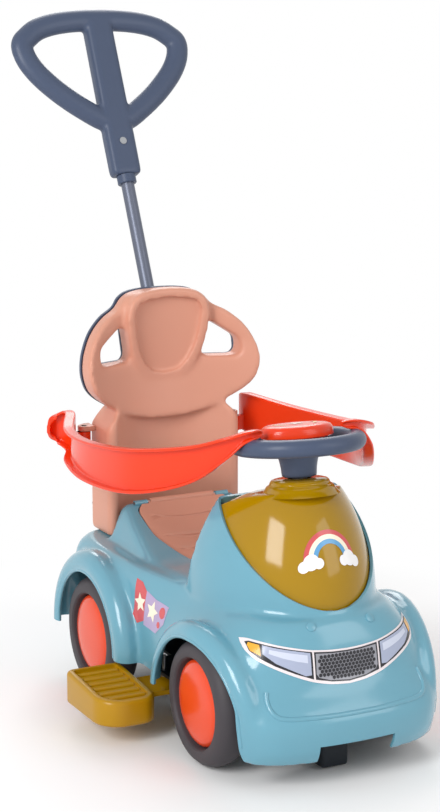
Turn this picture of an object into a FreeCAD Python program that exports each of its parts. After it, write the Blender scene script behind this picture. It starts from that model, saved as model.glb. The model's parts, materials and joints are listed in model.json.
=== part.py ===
import FreeCAD, Part
import math
import os
import re
from types import SimpleNamespace

from FreeCAD import Matrix, Placement, Rotation, Vector

# Toddler push car: a hollow moulded body on a floor pan, four wheels, a steered front axle, a lidded seat,
# a bucket backrest, two swinging safety arms, sliding footrests and a pull-out push handle.
# The car faces -Y, +X is its left side and the wheels stand on Z = 0. All sizes are millimetres.

SIZES = {
    # wheels and axles
    "wheel_radius": 77,
    "wheel_width": 42,
    "tyre_shoulder": 15,
    "wheel_recess_radius": 62,
    "wheel_boss_radius": 13,
    "wheel_web": 8,
    "axle_end_reach": 5,
    "cap_radius": 53,
    "cap_depth": 14,
    "cap_wall": 3,
    "cap_rounding": 6,
    "axle_radius": 5,
    "bush_wall": 3,
    "running_gap": 0.05,
    "side_gap": 0.4,
    "nut_radius": 9,
    "nut_thickness": 2,
    "rear_wheel_face": 151,
    "front_wheel_face": 145,
    "rear_axle_y": 64,
    "front_axle_y": -232,
    # body shell
    "body_wall": 3.5,
    "nose_reach": 372.5,
    "tail_reach": 175,
    "front_fender_half": 171,
    "rear_fender_half": 160,
    "waist_half": 130,
    "body_top": 190,
    "bumper_bottom": 32,
    "skirt_bottom": 72,
    "notch_half": 50,
    "notch_top": 54,
    "rear_arch_radius": 88,
    "front_arch_radius": 95,
    "front_arch_offset": 3,
    "rear_arch_drop": 4,
    "front_arch_drop": 17,
    "arch_inner_x": 96,
    # cowl and dome
    "dome_half_width": 103,
    "dome_half_length": 150,
    "dome_height": 165,
    "dome_y": -165,
    "dome_wall": 3,
    "rim_front_z": 195,
    "rim_tilt": 35.8,
    "dash_y": -131,
    "dash_tilt": 18,
    "collar_radius": 41,
    "collar_step": 5,
    "collar_rise": 15,
    "dome_top_z": 320,
    # steering
    "steer_y": -220,
    "steer_z": 377,
    "column_tilt": 7.2,
    "steer_rim_radius": 71,
    "steer_rim_section": 11,
    "steer_hub_radius": 31,
    "steer_hub_base": 21,
    "steer_hub_drop": 41,
    "spoke_radius": 8,
    "pad_half_width": 40,
    "pad_half_length": 33,
    "pad_height": 16,
    "column_radius": 5,
    "column_bush_wall": 4,
    "foot_bush_rise": 5,
    "kingpin_x": 88,
    "kingpin_radius": 4,
    "knuckle_radius": 9,
    "ear_gap_height": 30,
    "ear_thickness": 5,
    "knuckle_arm": 30,
    "crank_reach": 9.9,
    "link_pin_radius": 3,
    "link_gap": 1,
    "link_width": 12,
    "link_thickness": 5,
    # floor pan
    "pan_bottom": 65,
    "pan_thickness": 4,
    "pan_half": 78,
    "wing_half": 118,
    "wing_length": 100,
    "pan_front": 330,
    "pan_rear": 160,
    "ear_half": 11,
    "saddle_half": 8,
    "saddle_width": 14,
    "saddle_x": 68,
    "boss_radius": 7,
    "screw_radius": 2.5,
    "screw_head_radius": 5,
    "screw_head": 3,
    "screw_length": 22,
    # seat, mound and bin
    "seat_half": 68,
    "seat_front_half": 46,
    "seat_front_y": -40,
    "seat_rear_y": 102,
    "seat_front_z": 186,
    "seat_rear_z": 243,
    "seat_dip": 8,
    "seat_thickness": 6,
    "seat_gap": 1.5,
    "lid_swing_room": 7,
    "contact_gap": 0.3,
    "mound_half": 105,
    "mound_draft": 15,
    "mound_front_z": 197,
    "mound_rear_z": 256,
    "bin_margin": 14,
    "bin_wall": 2.5,
    "bin_bottom": 104,
    "lid_pin_radius": 2.5,
    "lid_barrel_radius": 5,
    "lid_barrel_half": 40,
    # backrest
    "back_half": 97,
    "back_front_y": 111,
    "back_rear_y": 175,
    "back_bowl_depth": 44,
    "back_wall": 5,
    "wing_edge": 12,
    "head_depth": 25,
    "ear_sweep": 42,
    "pad_rise": 8,
    "back_waist_z": 372,
    "ear_half_width": 124,
    "ear_z": 436,
    "ear_bar": 24,
    "head_half": 60,
    "head_top": 509,
    "cover_thickness": 4,
    # safety arms
    "arm_wall": 4,
    "arm_flange": 14,
    "arm_web_x": 124,
    "arm_hinge_x": 111,
    "arm_hinge_y": 163,
    "arm_low_z": 302,
    "arm_high_z": 348,
    "arm_rear_high": 355,
    "barrel_low": 306,
    "barrel_high": 326,
    "arm_tip_height": 13,
    "arm_tip_gap": 7,
    "arm_pin_radius": 4,
    "arm_barrel_radius": 9,
    "lug_thickness": 7,
    # footrests
    "step_inner": 147,
    "step_outer": 222,
    "step_front": -144,
    "step_rear": -24,
    "step_bottom": 26,
    "step_front_top": 59,
    "step_rear_top": 69,
    "step_wall": 4,
    "tongue_inner": 45,
    "tongue_half": 30,
    "tongue_bottom": 48,
    "tongue_thickness": 6,
    "rail_wall": 5,
    "rail_inner": 30,
    "rail_outer": 104,
    # push handle
    "tube_radius": 9,
    "tube_wall": 1.5,
    "tube_y": 190,
    "tube_foot_z": 115,
    "tube_bend_z": 490,
    "tube_lean": 25,
    "tube_bend_radius": 90,
    "grip_start": 178,
    "grip_length": 241,
    "grip_half": 135,
    "grip_bar": 27,
    "grip_spine": 42,
    "grip_thickness": 25,
    "grip_rounding": 8,
    "grip_overlap": 60,
    "sleeve_wall": 6,
    "socket_height": 50,
    "screw_height": 46,
    "collar_length": 12,
    "guide_height": 30,
    # front foot
    "foot_half": 18,
    "foot_length": 44,
    "foot_front": -318,
    "foot_bottom": 3,
}

doc = FreeCAD.newDocument("PushCar")
sheet = doc.addObject("Spreadsheet::Sheet", "Sizes")
for row, (alias, number) in enumerate(SIZES.items(), 1):
    sheet.set(f"A{row}", alias)
    sheet.set(f"B{row}", str(number))
    sheet.setAlias(f"B{row}", alias)
doc.recompute()
S = SimpleNamespace(**{alias: float(sheet.get(alias)) for alias in SIZES})

PIECES = {}
LARGE = 1200
ALONG = {
    "X": Rotation(Vector(0, 0, 1), Vector(1, 0, 0)),
    "-X": Rotation(Vector(0, 0, 1), Vector(-1, 0, 0)),
    "Y": Rotation(Vector(0, 0, 1), Vector(0, 1, 0)),
    "Z": Rotation(),
}
SIDES = {"left": 1, "right": -1}


def linked(text):
    """Turn a formula of size names into a sheet expression."""
    def with_sheet(match):
        word = match.group(0)
        return f"Sizes.{word}" if word in SIZES else word

    return re.sub(r"[A-Za-z_]\w*", with_sheet, str(text))


def bind(item, **formulas):
    """Bind properties of a document object to formulas of sheet sizes."""
    for name, formula in formulas.items():
        item.setExpression(name.replace("__", "."), linked(formula))
    return item


def place(item, at, along="Z"):
    """Put an object at a point given as formulas, with its axis along a frame axis."""
    item.Placement = Placement(Vector(), ALONG[along])
    return bind(item, Placement__Base__x=at[0], Placement__Base__y=at[1], Placement__Base__z=at[2])


def rod(name, radius, length, at, along="Z"):
    """A cylinder whose sizes and place are formulas."""
    item = bind(doc.addObject("Part::Cylinder", name), Radius=radius, Height=length)
    return place(item, at, along)


def block(name, low, high):
    """A box between two corners given as formulas."""
    item = doc.addObject("Part::Box", name)
    bind(item, Length=f"({high[0]}) - ({low[0]})", Width=f"({high[1]}) - ({low[1]})",
         Height=f"({high[2]}) - ({low[2]})")
    return place(item, low)


def fuse(name, *items):
    joined = doc.addObject("Part::MultiFuse", name)
    joined.Shapes = list(items)
    joined.Refine = True
    return joined


def cut(name, base, *tools):
    """Base less the tools."""
    result = doc.addObject("Part::Cut", name)
    result.Base = base
    result.Tool = tools[0] if len(tools) == 1 else fuse(name + "_tools", *tools)
    return result


def formed(name, shape):
    """A piece whose shape comes from lofts, sweeps or sculpted cuts."""
    item = doc.addObject("Part::Feature", name)
    item.Shape = shape
    return item


def piece(name, item):
    """Register an object as a finished sub-part under its own name."""
    item.Label = name
    PIECES[name] = item
    return item


def half_space(point, normal):
    """A large solid on the side of a plane that the normal points to."""
    box = Part.makeBox(2 * LARGE, 2 * LARGE, LARGE, Vector(-LARGE, -LARGE, 0))
    box.Placement = Placement(Vector(*point), Rotation(Vector(0, 0, 1), Vector(*normal)))
    return box


def box_between(low, high):
    return Part.makeBox(*[b - a for a, b in zip(low, high)], Vector(*low))


def bar(radius, start, end):
    """Round bar between two points."""
    run = end - start
    return Part.makeCylinder(radius, run.Length, start, run)


def spline_edge(points, closed=False):
    curve = Part.BSplineCurve()
    curve.interpolate(Points=[Vector(*p) for p in points], PeriodicFlag=closed)
    return curve.toShape()


def rounded_wire(corners, lift):
    """Closed outline of straight runs and tangent arcs; lift maps plane (a, b) to space."""
    count = len(corners)
    arcs = []
    for index, (a, b, radius) in enumerate(corners):
        here = Vector(a, b, 0)
        before = (Vector(*corners[index - 1][:2], 0) - here).normalize()
        after = (Vector(*corners[(index + 1) % count][:2], 0) - here).normalize()
        if radius <= 0:
            arcs.append((here, None, here))
            continue
        half = before.getAngle(after) / 2
        middle = (before + after).normalize()
        reach = radius / math.tan(half)
        top = here + middle * (radius / math.sin(half) - radius)
        arcs.append((here + before * reach, top, here + after * reach))
    spots = [tuple(p if p is None else lift(p.x, p.y) for p in arc) for arc in arcs]
    edges = []
    for index, (start, middle, end) in enumerate(spots):
        if middle is not None:
            edges.append(Part.Arc(start, middle, end).toShape())
        following = spots[(index + 1) % count][0]
        if end.distanceToPoint(following) > 1e-6:
            edges.append(Part.LineSegment(end, following).toShape())
    return Part.Wire(edges)


def both_sides(half):
    """Complete a half outline, listed at a > 0 or on the centre line, with its mirror image."""
    return half + [(-a, b, radius) for a, b, radius in reversed(half) if a > 0]


def plate(corners, lift, thickness):
    """Extrude a rounded outline along a vector."""
    return Part.Face(rounded_wire(corners, lift)).extrude(Vector(*thickness))


def flat_xy(z):
    return lambda a, b: Vector(a, b, z)


def flat_xz(y):
    return lambda a, b: Vector(a, y, b)


def flat_yz(x):
    return lambda a, b: Vector(x, a, b)


def mirrored(shape, sign):
    """The shape itself for the left side, its mirror image for the right."""
    return shape if sign > 0 else shape.mirror(Vector(), Vector(1, 0, 0))


# Derived places shared by several pieces.
COLUMN_AXIS = Vector(0, math.sin(math.radians(S.column_tilt)), math.cos(math.radians(S.column_tilt)))
STEER_CENTRE = Vector(0, S.steer_y, S.steer_z)
COLUMN_TURN = Rotation(Vector(0, 0, 1), COLUMN_AXIS)
PAN_TOP = S.pan_bottom + S.pan_thickness


def column_at(z):
    """Point of the steering axis at a height."""
    return STEER_CENTRE + COLUMN_AXIS * ((z - S.steer_z) / COLUMN_AXIS.z)


# Body shell: a lofted hull, a seat mound and a domed cowl, hollowed to one wall.
HULL_LEVELS = (
    # share of the height, blend from the skirt's outline to the deck's: front sides, nose, rear
    (0.0, 0.10, 0.16, 0.08),
    (0.13, 0.02, 0.0, 0.0),
    (0.33, 0.0, 0.02, 0.0),
    (0.54, 0.07, 0.5, 0.0),
    (0.74, 0.27, 0.64, 0.05),
    (0.86, 0.57, 0.74, 0.15),
    (0.95, 0.93, 0.87, 0.45),
    (1.0, 1.2, 1.0, 1.0),
)


def hull_stations():
    """Left half of the lower body in plan, from nose to tail.

    Each station holds a skirt point, a deck point, an outward direction and whether it is in front.
    """
    nose, tail = -S.nose_reach, S.tail_reach
    front, rear = S.front_axle_y, S.rear_axle_y
    wide, hips, waist = S.front_fender_half, S.rear_fender_half, S.waist_half
    deck = S.dome_half_width
    return (
        (0, nose, 0, nose + 48, 0, -1, True),
        (wide - 106, nose + 5, deck - 60, nose + 53, 0.12, -1, True),
        (wide - 58, nose + 21, deck - 30, nose + 69, 0.4, -0.9, True),
        (wide - 30, front - 84, deck - 14, nose + 92, 0.75, -0.66, True),
        (wide - 11, front - 46, deck - 6, nose + 118, 0.9, -0.4, True),
        (wide, front, deck - 2, front + 10, 1, 0, True),
        (wide - 8, front + 67, deck, front + 67, 1, 0, True),
        (waist + 6, front + 122, deck + 6, front + 122, 1, 0, True),
        (waist, rear - 104, waist - 14, rear - 104, 1, 0, False),
        (hips - 10, rear - 58, hips - 28, rear - 56, 1, 0, False),
        (hips, rear, hips - 20, rear, 1, 0, False),
        (hips - 5, rear + 52, hips - 26, rear + 48, 0.95, 0.3, False),
        (hips - 24, tail - 22, hips - 46, tail - 27, 0.7, 0.7, False),
        (hips - 66, tail - 4, hips - 76, tail - 8, 0.2, 1, False),
        (0, tail, 0, tail - 4, 0, 1, False),
    )


def hull_outline(z, sides, nose, rear, shrink):
    """Closed plan outline of the lower body at one height, blended between skirt and deck."""
    left = []
    for x, y, deck_x, deck_y, out_x, out_y, is_front in hull_stations():
        along, across_share = (nose, sides) if is_front else (rear, rear)
        left.append((x + (deck_x - x) * across_share - out_x * shrink,
                     y + (deck_y - y) * along - out_y * shrink, z))
    right = [(-x, y, z) for x, y, z in reversed(left[1:-1])]
    return Part.Wire(spline_edge(left + right, closed=True))


def hull(shrink):
    """Lofted lower body, shrunk by a wall and running on below the skirt."""
    rise = S.body_top - S.bumper_bottom - shrink
    levels = [(S.bumper_bottom + share * rise, *blends) for share, *blends in HULL_LEVELS]
    levels.insert(0, (S.bumper_bottom - 20, *HULL_LEVELS[0][1:]))
    return Part.makeLoft([hull_outline(*level, shrink) for level in levels], True, False)


def mound(shrink, low):
    """Raised body under and around the seat: a drafted block under a rising top line."""
    front = S.dash_y - 14 + shrink
    rear = S.back_front_y - 0.5 - shrink
    top = plate([(front, low, 0), (rear, low, 0), (rear, S.mound_rear_z - shrink, 0),
                 (S.seat_rear_y - 22, S.mound_rear_z - 7 - shrink, 40),
                 (S.seat_front_y + 12, S.mound_front_z - shrink, 130), (front, S.mound_front_z - shrink, 0)],
                flat_yz(-LARGE), (2 * LARGE, 0, 0))
    lean = math.tan(math.radians(S.mound_draft))
    half = S.mound_half - shrink
    flanks = plate(both_sides([(half + (S.body_top - low) * lean, low, 0),
                               (half - (LARGE / 4 - S.body_top) * lean, LARGE / 4, 0)]),
                   flat_xz(front), (0, rear - front, 0))
    return top.common(flanks)


def ellipsoid(shrink):
    """Egg of the cowl and dome, shrunk by a wall."""
    scale = Matrix()
    scale.scale(S.dome_half_width - shrink, S.dome_half_length - shrink, S.dome_height - shrink)
    egg = Part.makeSphere(1).transformGeometry(scale)
    egg.translate(Vector(0, S.dome_y, S.body_top))
    return egg


def behind_dash(shift):
    """Everything behind the leaning dash, moved forwards by a wall."""
    lean = math.radians(S.dash_tilt)
    return half_space((0, S.dash_y - shift, S.body_top), (0, math.cos(lean), math.sin(lean)))


def above_rim():
    """Everything above the tilted rim on which the dome sits."""
    lean = math.radians(S.rim_tilt)
    return half_space((0, S.dome_y - S.dome_half_length, S.rim_front_z), (0, -math.sin(lean), math.cos(lean)))


def below(z):
    return half_space((0, 0, z), (0, 0, -1))


COWL_FOOT = S.body_top - 30


def seat_plan(grow, low=0.0, high=LARGE / 2):
    """Prism over the seat's outline, grown outwards."""
    front, rear = S.seat_front_y - grow, S.seat_rear_y + grow
    half = S.seat_half + grow
    outline = both_sides([(S.seat_front_half + grow, front, 22), (half, S.seat_front_y + 72, 60),
                          (half, rear - 18, 12), (half - 18, rear, 6)])
    return plate(outline, flat_xy(low), (0, 0, high - low))


def seat_room(grow, low):
    """Space round the lid, stretched forwards for the arc of the lid's front edge."""
    still = seat_plan(grow, low)
    ahead = still.copy()
    ahead.translate(Vector(0, -S.lid_swing_room, 0))
    return still.fuse(ahead)


CHORD = Vector(0, S.seat_rear_y - S.seat_front_y, S.seat_rear_z - S.seat_front_z)
SEAT_RADIUS = (CHORD.Length ** 2 / 4 + S.seat_dip ** 2) / (2 * S.seat_dip)
SEAT_AXIS = (Vector(0, S.seat_front_y, S.seat_front_z) + CHORD / 2
             + Vector(0, -CHORD.z, CHORD.y).normalize() * (SEAT_RADIUS - S.seat_dip))


def seat_roll(depth):
    """Large cylinder across the car whose lower side lies a depth below the seat's surface."""
    return Part.makeCylinder(SEAT_RADIUS + depth, 2 * LARGE, SEAT_AXIS - Vector(LARGE, 0, 0), Vector(1, 0, 0))


LID_HINGE = Vector(0, S.seat_rear_y - S.lid_barrel_radius, S.seat_rear_z - S.seat_thickness)
LUG_INNER = S.lid_barrel_half + 2
LUG_OUTER = S.seat_half + 1


def across(radius, half, at):
    """Round bar across the car, centred on a point."""
    return bar(radius, at - Vector(half, 0, 0), at + Vector(half, 0, 0))


def wheel_arches():
    """Openings for the wheels through both sides of the body."""
    tools = []
    for sign in SIDES.values():
        near, far = sign * S.arch_inner_x, sign * LARGE / 4
        front_y = S.front_axle_y + S.front_arch_offset
        for radius, y, drop in ((S.rear_arch_radius, S.rear_axle_y, S.rear_arch_drop),
                                (S.front_arch_radius, front_y, S.front_arch_drop)):
            height = S.wheel_radius - drop
            tools.append(bar(radius, Vector(near, y, height), Vector(far, y, height)))
            tools.append(box_between((min(near, far), y - radius, 0), (max(near, far), y + radius, height)))
    return tools


def screw_places():
    """Plan places of the floor pan's screws: under the nose, beside the doors and under the rear deck."""
    spots = ((S.notch_half + 10, S.foot_front), (S.wing_half - 6, WING_MIDDLE),
             (S.pan_half - 12, S.pan_rear - 20))
    return [(sign * x, y) for sign in SIDES.values() for x, y in spots]


def outer_body():
    """The body's outside as one solid."""
    cowl = ellipsoid(0).cut(below(COWL_FOOT)).cut(behind_dash(0)).cut(above_rim())
    return hull(0).cut(below(S.bumper_bottom)).fuse([mound(0, COWL_FOOT), cowl])


def seat_tray():
    """Ledge below the lid with the two hinge lugs and room for the lid's barrel."""
    under_lid = S.seat_thickness + S.contact_gap
    tray = seat_room(S.seat_gap + S.body_wall, COWL_FOOT - 40).common(seat_roll(under_lid + S.body_wall))
    tray = tray.cut(seat_roll(under_lid)).cut(seat_plan(-S.bin_margin))
    for sign in SIDES.values():
        near, far = sorted((sign * LUG_INNER, sign * LUG_OUTER))
        tray = tray.fuse(box_between((near, LID_HINGE.y - LUG_REACH, LID_HINGE.z - 2 * LUG_REACH),
                                     (far, LID_HINGE.y + LUG_REACH, LID_HINGE.z + S.lid_barrel_radius)))
    return tray.cut([across(S.lid_barrel_radius + 1, LUG_INNER, LID_HINGE),
                     across(S.lid_pin_radius, LUG_OUTER + 1, LID_HINGE)])


def body_shell():
    wall = S.body_wall
    outside = outer_body()
    hollow = hull(wall).fuse([mound(wall, COWL_FOOT - 40),
                                  ellipsoid(wall).cut(below(COWL_FOOT - 20)).cut(behind_dash(wall))])
    pocket = seat_room(S.seat_gap, COWL_FOOT - 40).common(seat_roll(S.seat_thickness + S.contact_gap))
    swing_room = box_between((-LUG_INNER, LID_HINGE.y, LID_HINGE.z - 1),
                             (LUG_INNER, S.back_front_y + 5, LARGE / 3))
    notch = box_between((-S.notch_half, -LARGE / 2, 0), (S.notch_half, S.front_axle_y, S.notch_top))
    skirt = box_between((-LARGE / 4, S.front_axle_y, 0), (LARGE / 4, LARGE / 4, S.skirt_bottom))
    shell = outside.cut(hollow).cut(pocket).cut(wheel_arches() + [notch, skirt, swing_room])
    bosses = [Part.makeCylinder(S.boss_radius, LARGE / 6, Vector(x, y, PAN_TOP)).common(outside)
              for x, y in screw_places()]
    holes = [Part.makeCylinder(S.screw_radius, S.screw_length, Vector(x, y, PAN_TOP))
             for x, y in screw_places()]
    return shell.fuse([seat_tray()] + bosses).cut(holes)


WING_MIDDLE = (S.step_front + S.step_rear) / 2
LUG_REACH = 7
piece("body_shell", formed("BodyShell", body_shell()))


# Bonnet dome: the egg's cap above the rim, cut flat below the steering wheel, with a stepped collar.
def above_flat(shift):
    """Everything above the dome's flat top, which stands square to the steering column."""
    return half_space(column_at(S.dome_top_z) - COLUMN_AXIS * shift, COLUMN_AXIS)


def dome_solid(shrink):
    return ellipsoid(shrink).cut(behind_dash(shrink)).cut(above_flat(shrink)).common(above_rim())


def bonnet_dome():
    base = column_at(S.dome_top_z)
    collar = Part.makeCylinder(S.collar_radius, S.collar_rise / 2 + S.dome_wall,
                               base - COLUMN_AXIS * S.dome_wall, COLUMN_AXIS)
    step = Part.makeCylinder(S.collar_radius - S.collar_step, S.collar_rise, base, COLUMN_AXIS)
    bore = Part.makeCylinder(S.column_radius + S.column_bush_wall, LARGE / 8, base - COLUMN_AXIS * LARGE / 16,
                             COLUMN_AXIS)
    return dome_solid(0).cut(dome_solid(S.dome_wall)).fuse([collar, step]).cut(bore)


piece("bonnet_dome", formed("BonnetDome", bonnet_dome()))


# Steering column, its bushes, the steering wheel and its pad, all about the tilted column axis.
def on_column(item, z, turn=COLUMN_TURN):
    item.Placement = Placement(column_at(z), turn)
    return item


def column_rod(name, radius, length, z):
    return on_column(bind(doc.addObject("Part::Cylinder", name), Radius=radius, Height=length), z)


def column_sleeve(name, bore, wall, length, z):
    return cut(name, column_rod(name + "_outside", f"{bore} + {wall}", length, z),
               column_rod(name + "_bore", bore, f"{length} + 1", z))


bush_bore = "(column_radius + running_gap)"
bush_wall = "(column_bush_wall - running_gap)"
piece("column_upper_bush", column_sleeve("UpperBush", bush_bore, bush_wall, "collar_rise + dome_wall",
                                         S.dome_top_z - S.dome_wall * COLUMN_AXIS.z))


def column_foot_bush():
    """Lower bearing: a tilted sleeve cut flat where it stands on the floor pan."""
    low = column_at(PAN_TOP - 10)
    sleeve = bar(S.column_radius + S.column_bush_wall, low, column_at(PAN_TOP + S.foot_bush_rise))
    return sleeve.cut(below(PAN_TOP)).cut(bar(S.column_radius + S.running_gap, low, column_at(PAN_TOP + 60)))


piece("column_foot_bush", formed("FootBush", column_foot_bush()))

ARM_LOW = PAN_TOP + 2
LINK_LOW = ARM_LOW + S.link_thickness + 1
CRANK_LOW = LINK_LOW + S.link_thickness + 2.5
PIN_SPOT = column_at(LINK_LOW + S.link_thickness / 2) + COLUMN_TURN.multVec(Vector(0, S.crank_reach, 0))


def steering_column():
    """Steel rod with a crank plate and its pin near the foot."""
    shaft = bar(S.column_radius, column_at(PAN_TOP + 1.5), column_at(S.steer_z))
    turned = Placement(column_at(CRANK_LOW), COLUMN_TURN)
    half = S.link_width / 2
    crank = Part.makeBox(2 * half, S.crank_reach + half, S.link_thickness, Vector(-half, 0, 0))
    crank = crank.fuse([Part.makeCylinder(half + 1, S.link_thickness),
                        Part.makeCylinder(S.link_pin_radius, S.link_thickness + 7,
                                          Vector(0, S.crank_reach, -6.5))])
    crank.Placement = turned
    return shaft.fuse(crank)


piece("steering_column", formed("SteeringColumn", steering_column()))


SPOKE_DROP = 2
PAD_SEAT = S.spoke_radius - SPOKE_DROP + 0.5


def steering_wheel():
    """Rim, three round spokes and a flared hub, built flat and then tilted with the column."""
    rim = Part.makeTorus(S.steer_rim_radius, S.steer_rim_section)
    flare = Part.makeCone(S.steer_hub_base, S.steer_hub_radius, S.steer_hub_drop,
                          Vector(0, 0, -S.steer_hub_drop))
    crown = Part.makeCylinder(S.steer_hub_radius, PAD_SEAT)
    spokes = []
    for angle in (0, 120, 240):
        out = Rotation(Vector(0, 0, 1), angle).multVec(Vector(0, S.steer_rim_radius, 0))
        spokes.append(bar(S.spoke_radius, Vector(0, 0, -SPOKE_DROP), out - Vector(0, 0, SPOKE_DROP)))
    bore = Part.makeCylinder(S.column_radius, S.steer_hub_drop, Vector(0, 0, -S.steer_hub_drop))
    wheel = rim.fuse([flare, crown] + spokes).cut(bore)
    wheel.Placement = Placement(STEER_CENTRE, COLUMN_TURN)
    return wheel


piece("steering_wheel", formed("SteeringWheel", steering_wheel()))


def steering_pad():
    """Oval pad on the hub's crown: a drafted loft between two ellipses."""
    ovals = []
    for share, rise in ((1, 0), (0.97, 0.55), (0.8, 1)):
        oval = Part.Ellipse(Vector(), S.pad_half_width * share, S.pad_half_length * share).toShape()
        oval.translate(Vector(0, 0, PAD_SEAT + rise * S.pad_height))
        ovals.append(Part.Wire(oval))
    pad = Part.makeLoft(ovals, True, False)
    pad.Placement = Placement(STEER_CENTRE, COLUMN_TURN)
    return pad


piece("steering_pad", formed("SteeringPad", steering_pad()))


# Knuckles and tie rod of the steered front axle.
KNUCKLE_TOP = PAN_TOP + S.ear_gap_height
LINK_Y = S.front_axle_y + S.knuckle_arm


def knuckle():
    """Left knuckle: kingpin post, stub axle with a shoulder, and a rearward steering arm with a pin."""
    x, y = S.kingpin_x, S.front_axle_y
    inner_face = S.front_wheel_face - S.wheel_width
    axle_end = S.front_wheel_face - S.cap_depth + S.axle_end_reach
    half = S.link_width / 2
    post = Part.makeCylinder(S.knuckle_radius, S.ear_gap_height - 2 * S.side_gap,
                             Vector(x, y, PAN_TOP + S.side_gap))
    pin = Part.makeCylinder(S.kingpin_radius, S.ear_gap_height + S.pan_thickness + S.ear_thickness,
                            Vector(x, y, S.pan_bottom))
    stub = bar(S.axle_radius, Vector(x, y, S.wheel_radius), Vector(axle_end, y, S.wheel_radius))
    shoulder = bar(S.axle_radius + S.bush_wall, Vector(x, y, S.wheel_radius),
                   Vector(inner_face - S.side_gap, y, S.wheel_radius))
    arm = box_between((x - half, y, ARM_LOW), (x + half, LINK_Y + half, ARM_LOW + S.link_thickness))
    link_pin = Part.makeCylinder(S.link_pin_radius, LINK_LOW + S.link_thickness - ARM_LOW,
                                 Vector(x, LINK_Y, ARM_LOW))
    return post.fuse([pin, stub, shoulder, arm, link_pin])


def tie_rod():
    """Flat bar between the steering arms with a fork round the crank's pin."""
    half = S.link_width / 2
    reach = S.kingpin_x + half + S.link_gap
    rail = box_between((-reach, LINK_Y - half, LINK_LOW), (reach, LINK_Y + half, LINK_LOW + S.link_thickness))
    slot = S.link_pin_radius + S.link_gap
    fork = box_between((-slot - 5, PIN_SPOT.y - 2, LINK_LOW), (slot + 5, LINK_Y, LINK_LOW + S.link_thickness))
    gap = box_between((-slot, PIN_SPOT.y - half, LINK_LOW),
                      (slot, PIN_SPOT.y + 2 * slot, LINK_LOW + 2 * S.link_thickness))
    eyes = [Part.makeCylinder(slot, S.link_thickness, Vector(sign * S.kingpin_x, LINK_Y, LINK_LOW))
            for sign in SIDES.values()]
    return rail.fuse(fork).cut([gap] + eyes)


for side, sign in SIDES.items():
    piece(f"knuckle_{side}", formed(f"Knuckle{side}", mirrored(knuckle(), sign)))
piece("tie_rod", formed("TieRod", tie_rod()))


# Wheels: a moulded dark wheel, its bush, an orange hub cap, and a push nut on the axle's end.
def wheel_set(where, sign, face, axle_y):
    along = "X" if sign > 0 else "-X"

    def turned(name, radius, start, length):
        return rod(f"{where}_{name}", radius, length, (f"{sign} * ({start})", axle_y, "wheel_radius"), along)

    inner = f"({face} - wheel_width)"
    web = f"({face} - cap_depth)"
    disc = turned("disc", "wheel_radius", inner, "wheel_width")
    doc.recompute()
    rounded = doc.addObject("Part::Fillet", f"{where}_tread")
    rounded.Base = disc
    rounded.Edges = [(circle, S.tyre_shoulder, S.tyre_shoulder) for circle in (2, 3)]
    recess = turned("recess", "wheel_recess_radius", inner, "wheel_width - cap_depth - wheel_web")
    ring = cut(f"{where}_ring", recess, turned("boss", "wheel_boss_radius", inner, "wheel_width"))
    seat = turned("cap_seat", "cap_radius", web, "cap_depth + 1")
    bore = turned("bore", "axle_radius + bush_wall", inner, "wheel_width")
    piece(f"{where}_wheel", cut(f"{where}_wheel_body", rounded, ring, seat, bore))
    sleeve = turned("sleeve", "axle_radius + bush_wall", inner, "wheel_width - cap_depth")
    piece(f"{where}_bush", cut(f"{where}_bush_body", sleeve,
                               turned("sleeve_bore", "axle_radius + running_gap", inner, "wheel_width")))
    nut = turned("nut_disc", "nut_radius", f"{web} + side_gap", "nut_thickness")
    piece(f"{where}_push_nut", cut(f"{where}_nut_body", nut,
                                   turned("nut_bore", "axle_radius", web, "cap_depth")))
    cover = turned("cap_disc", "cap_radius", web, "cap_depth")
    doc.recompute()
    domed = doc.addObject("Part::Fillet", f"{where}_cap_round")
    domed.Base = cover
    domed.Edges = [(3, S.cap_rounding, S.cap_rounding)]
    room = turned("cap_room", "cap_radius - cap_wall", web, "cap_depth - cap_wall")
    piece(f"{where}_hub_cap", cut(f"{where}_cap_body", domed, room))


for side, sign in SIDES.items():
    wheel_set(f"front_{side}", sign, "front_wheel_face", "front_axle_y")
    wheel_set(f"rear_{side}", sign, "rear_wheel_face", "rear_axle_y")

rear_end = "(rear_wheel_face - cap_depth + axle_end_reach)"
piece("rear_axle", rod("RearAxle", "axle_radius", f"2 * {rear_end}",
                       (f"-{rear_end}", "rear_axle_y", "wheel_radius"), "X"))


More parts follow.
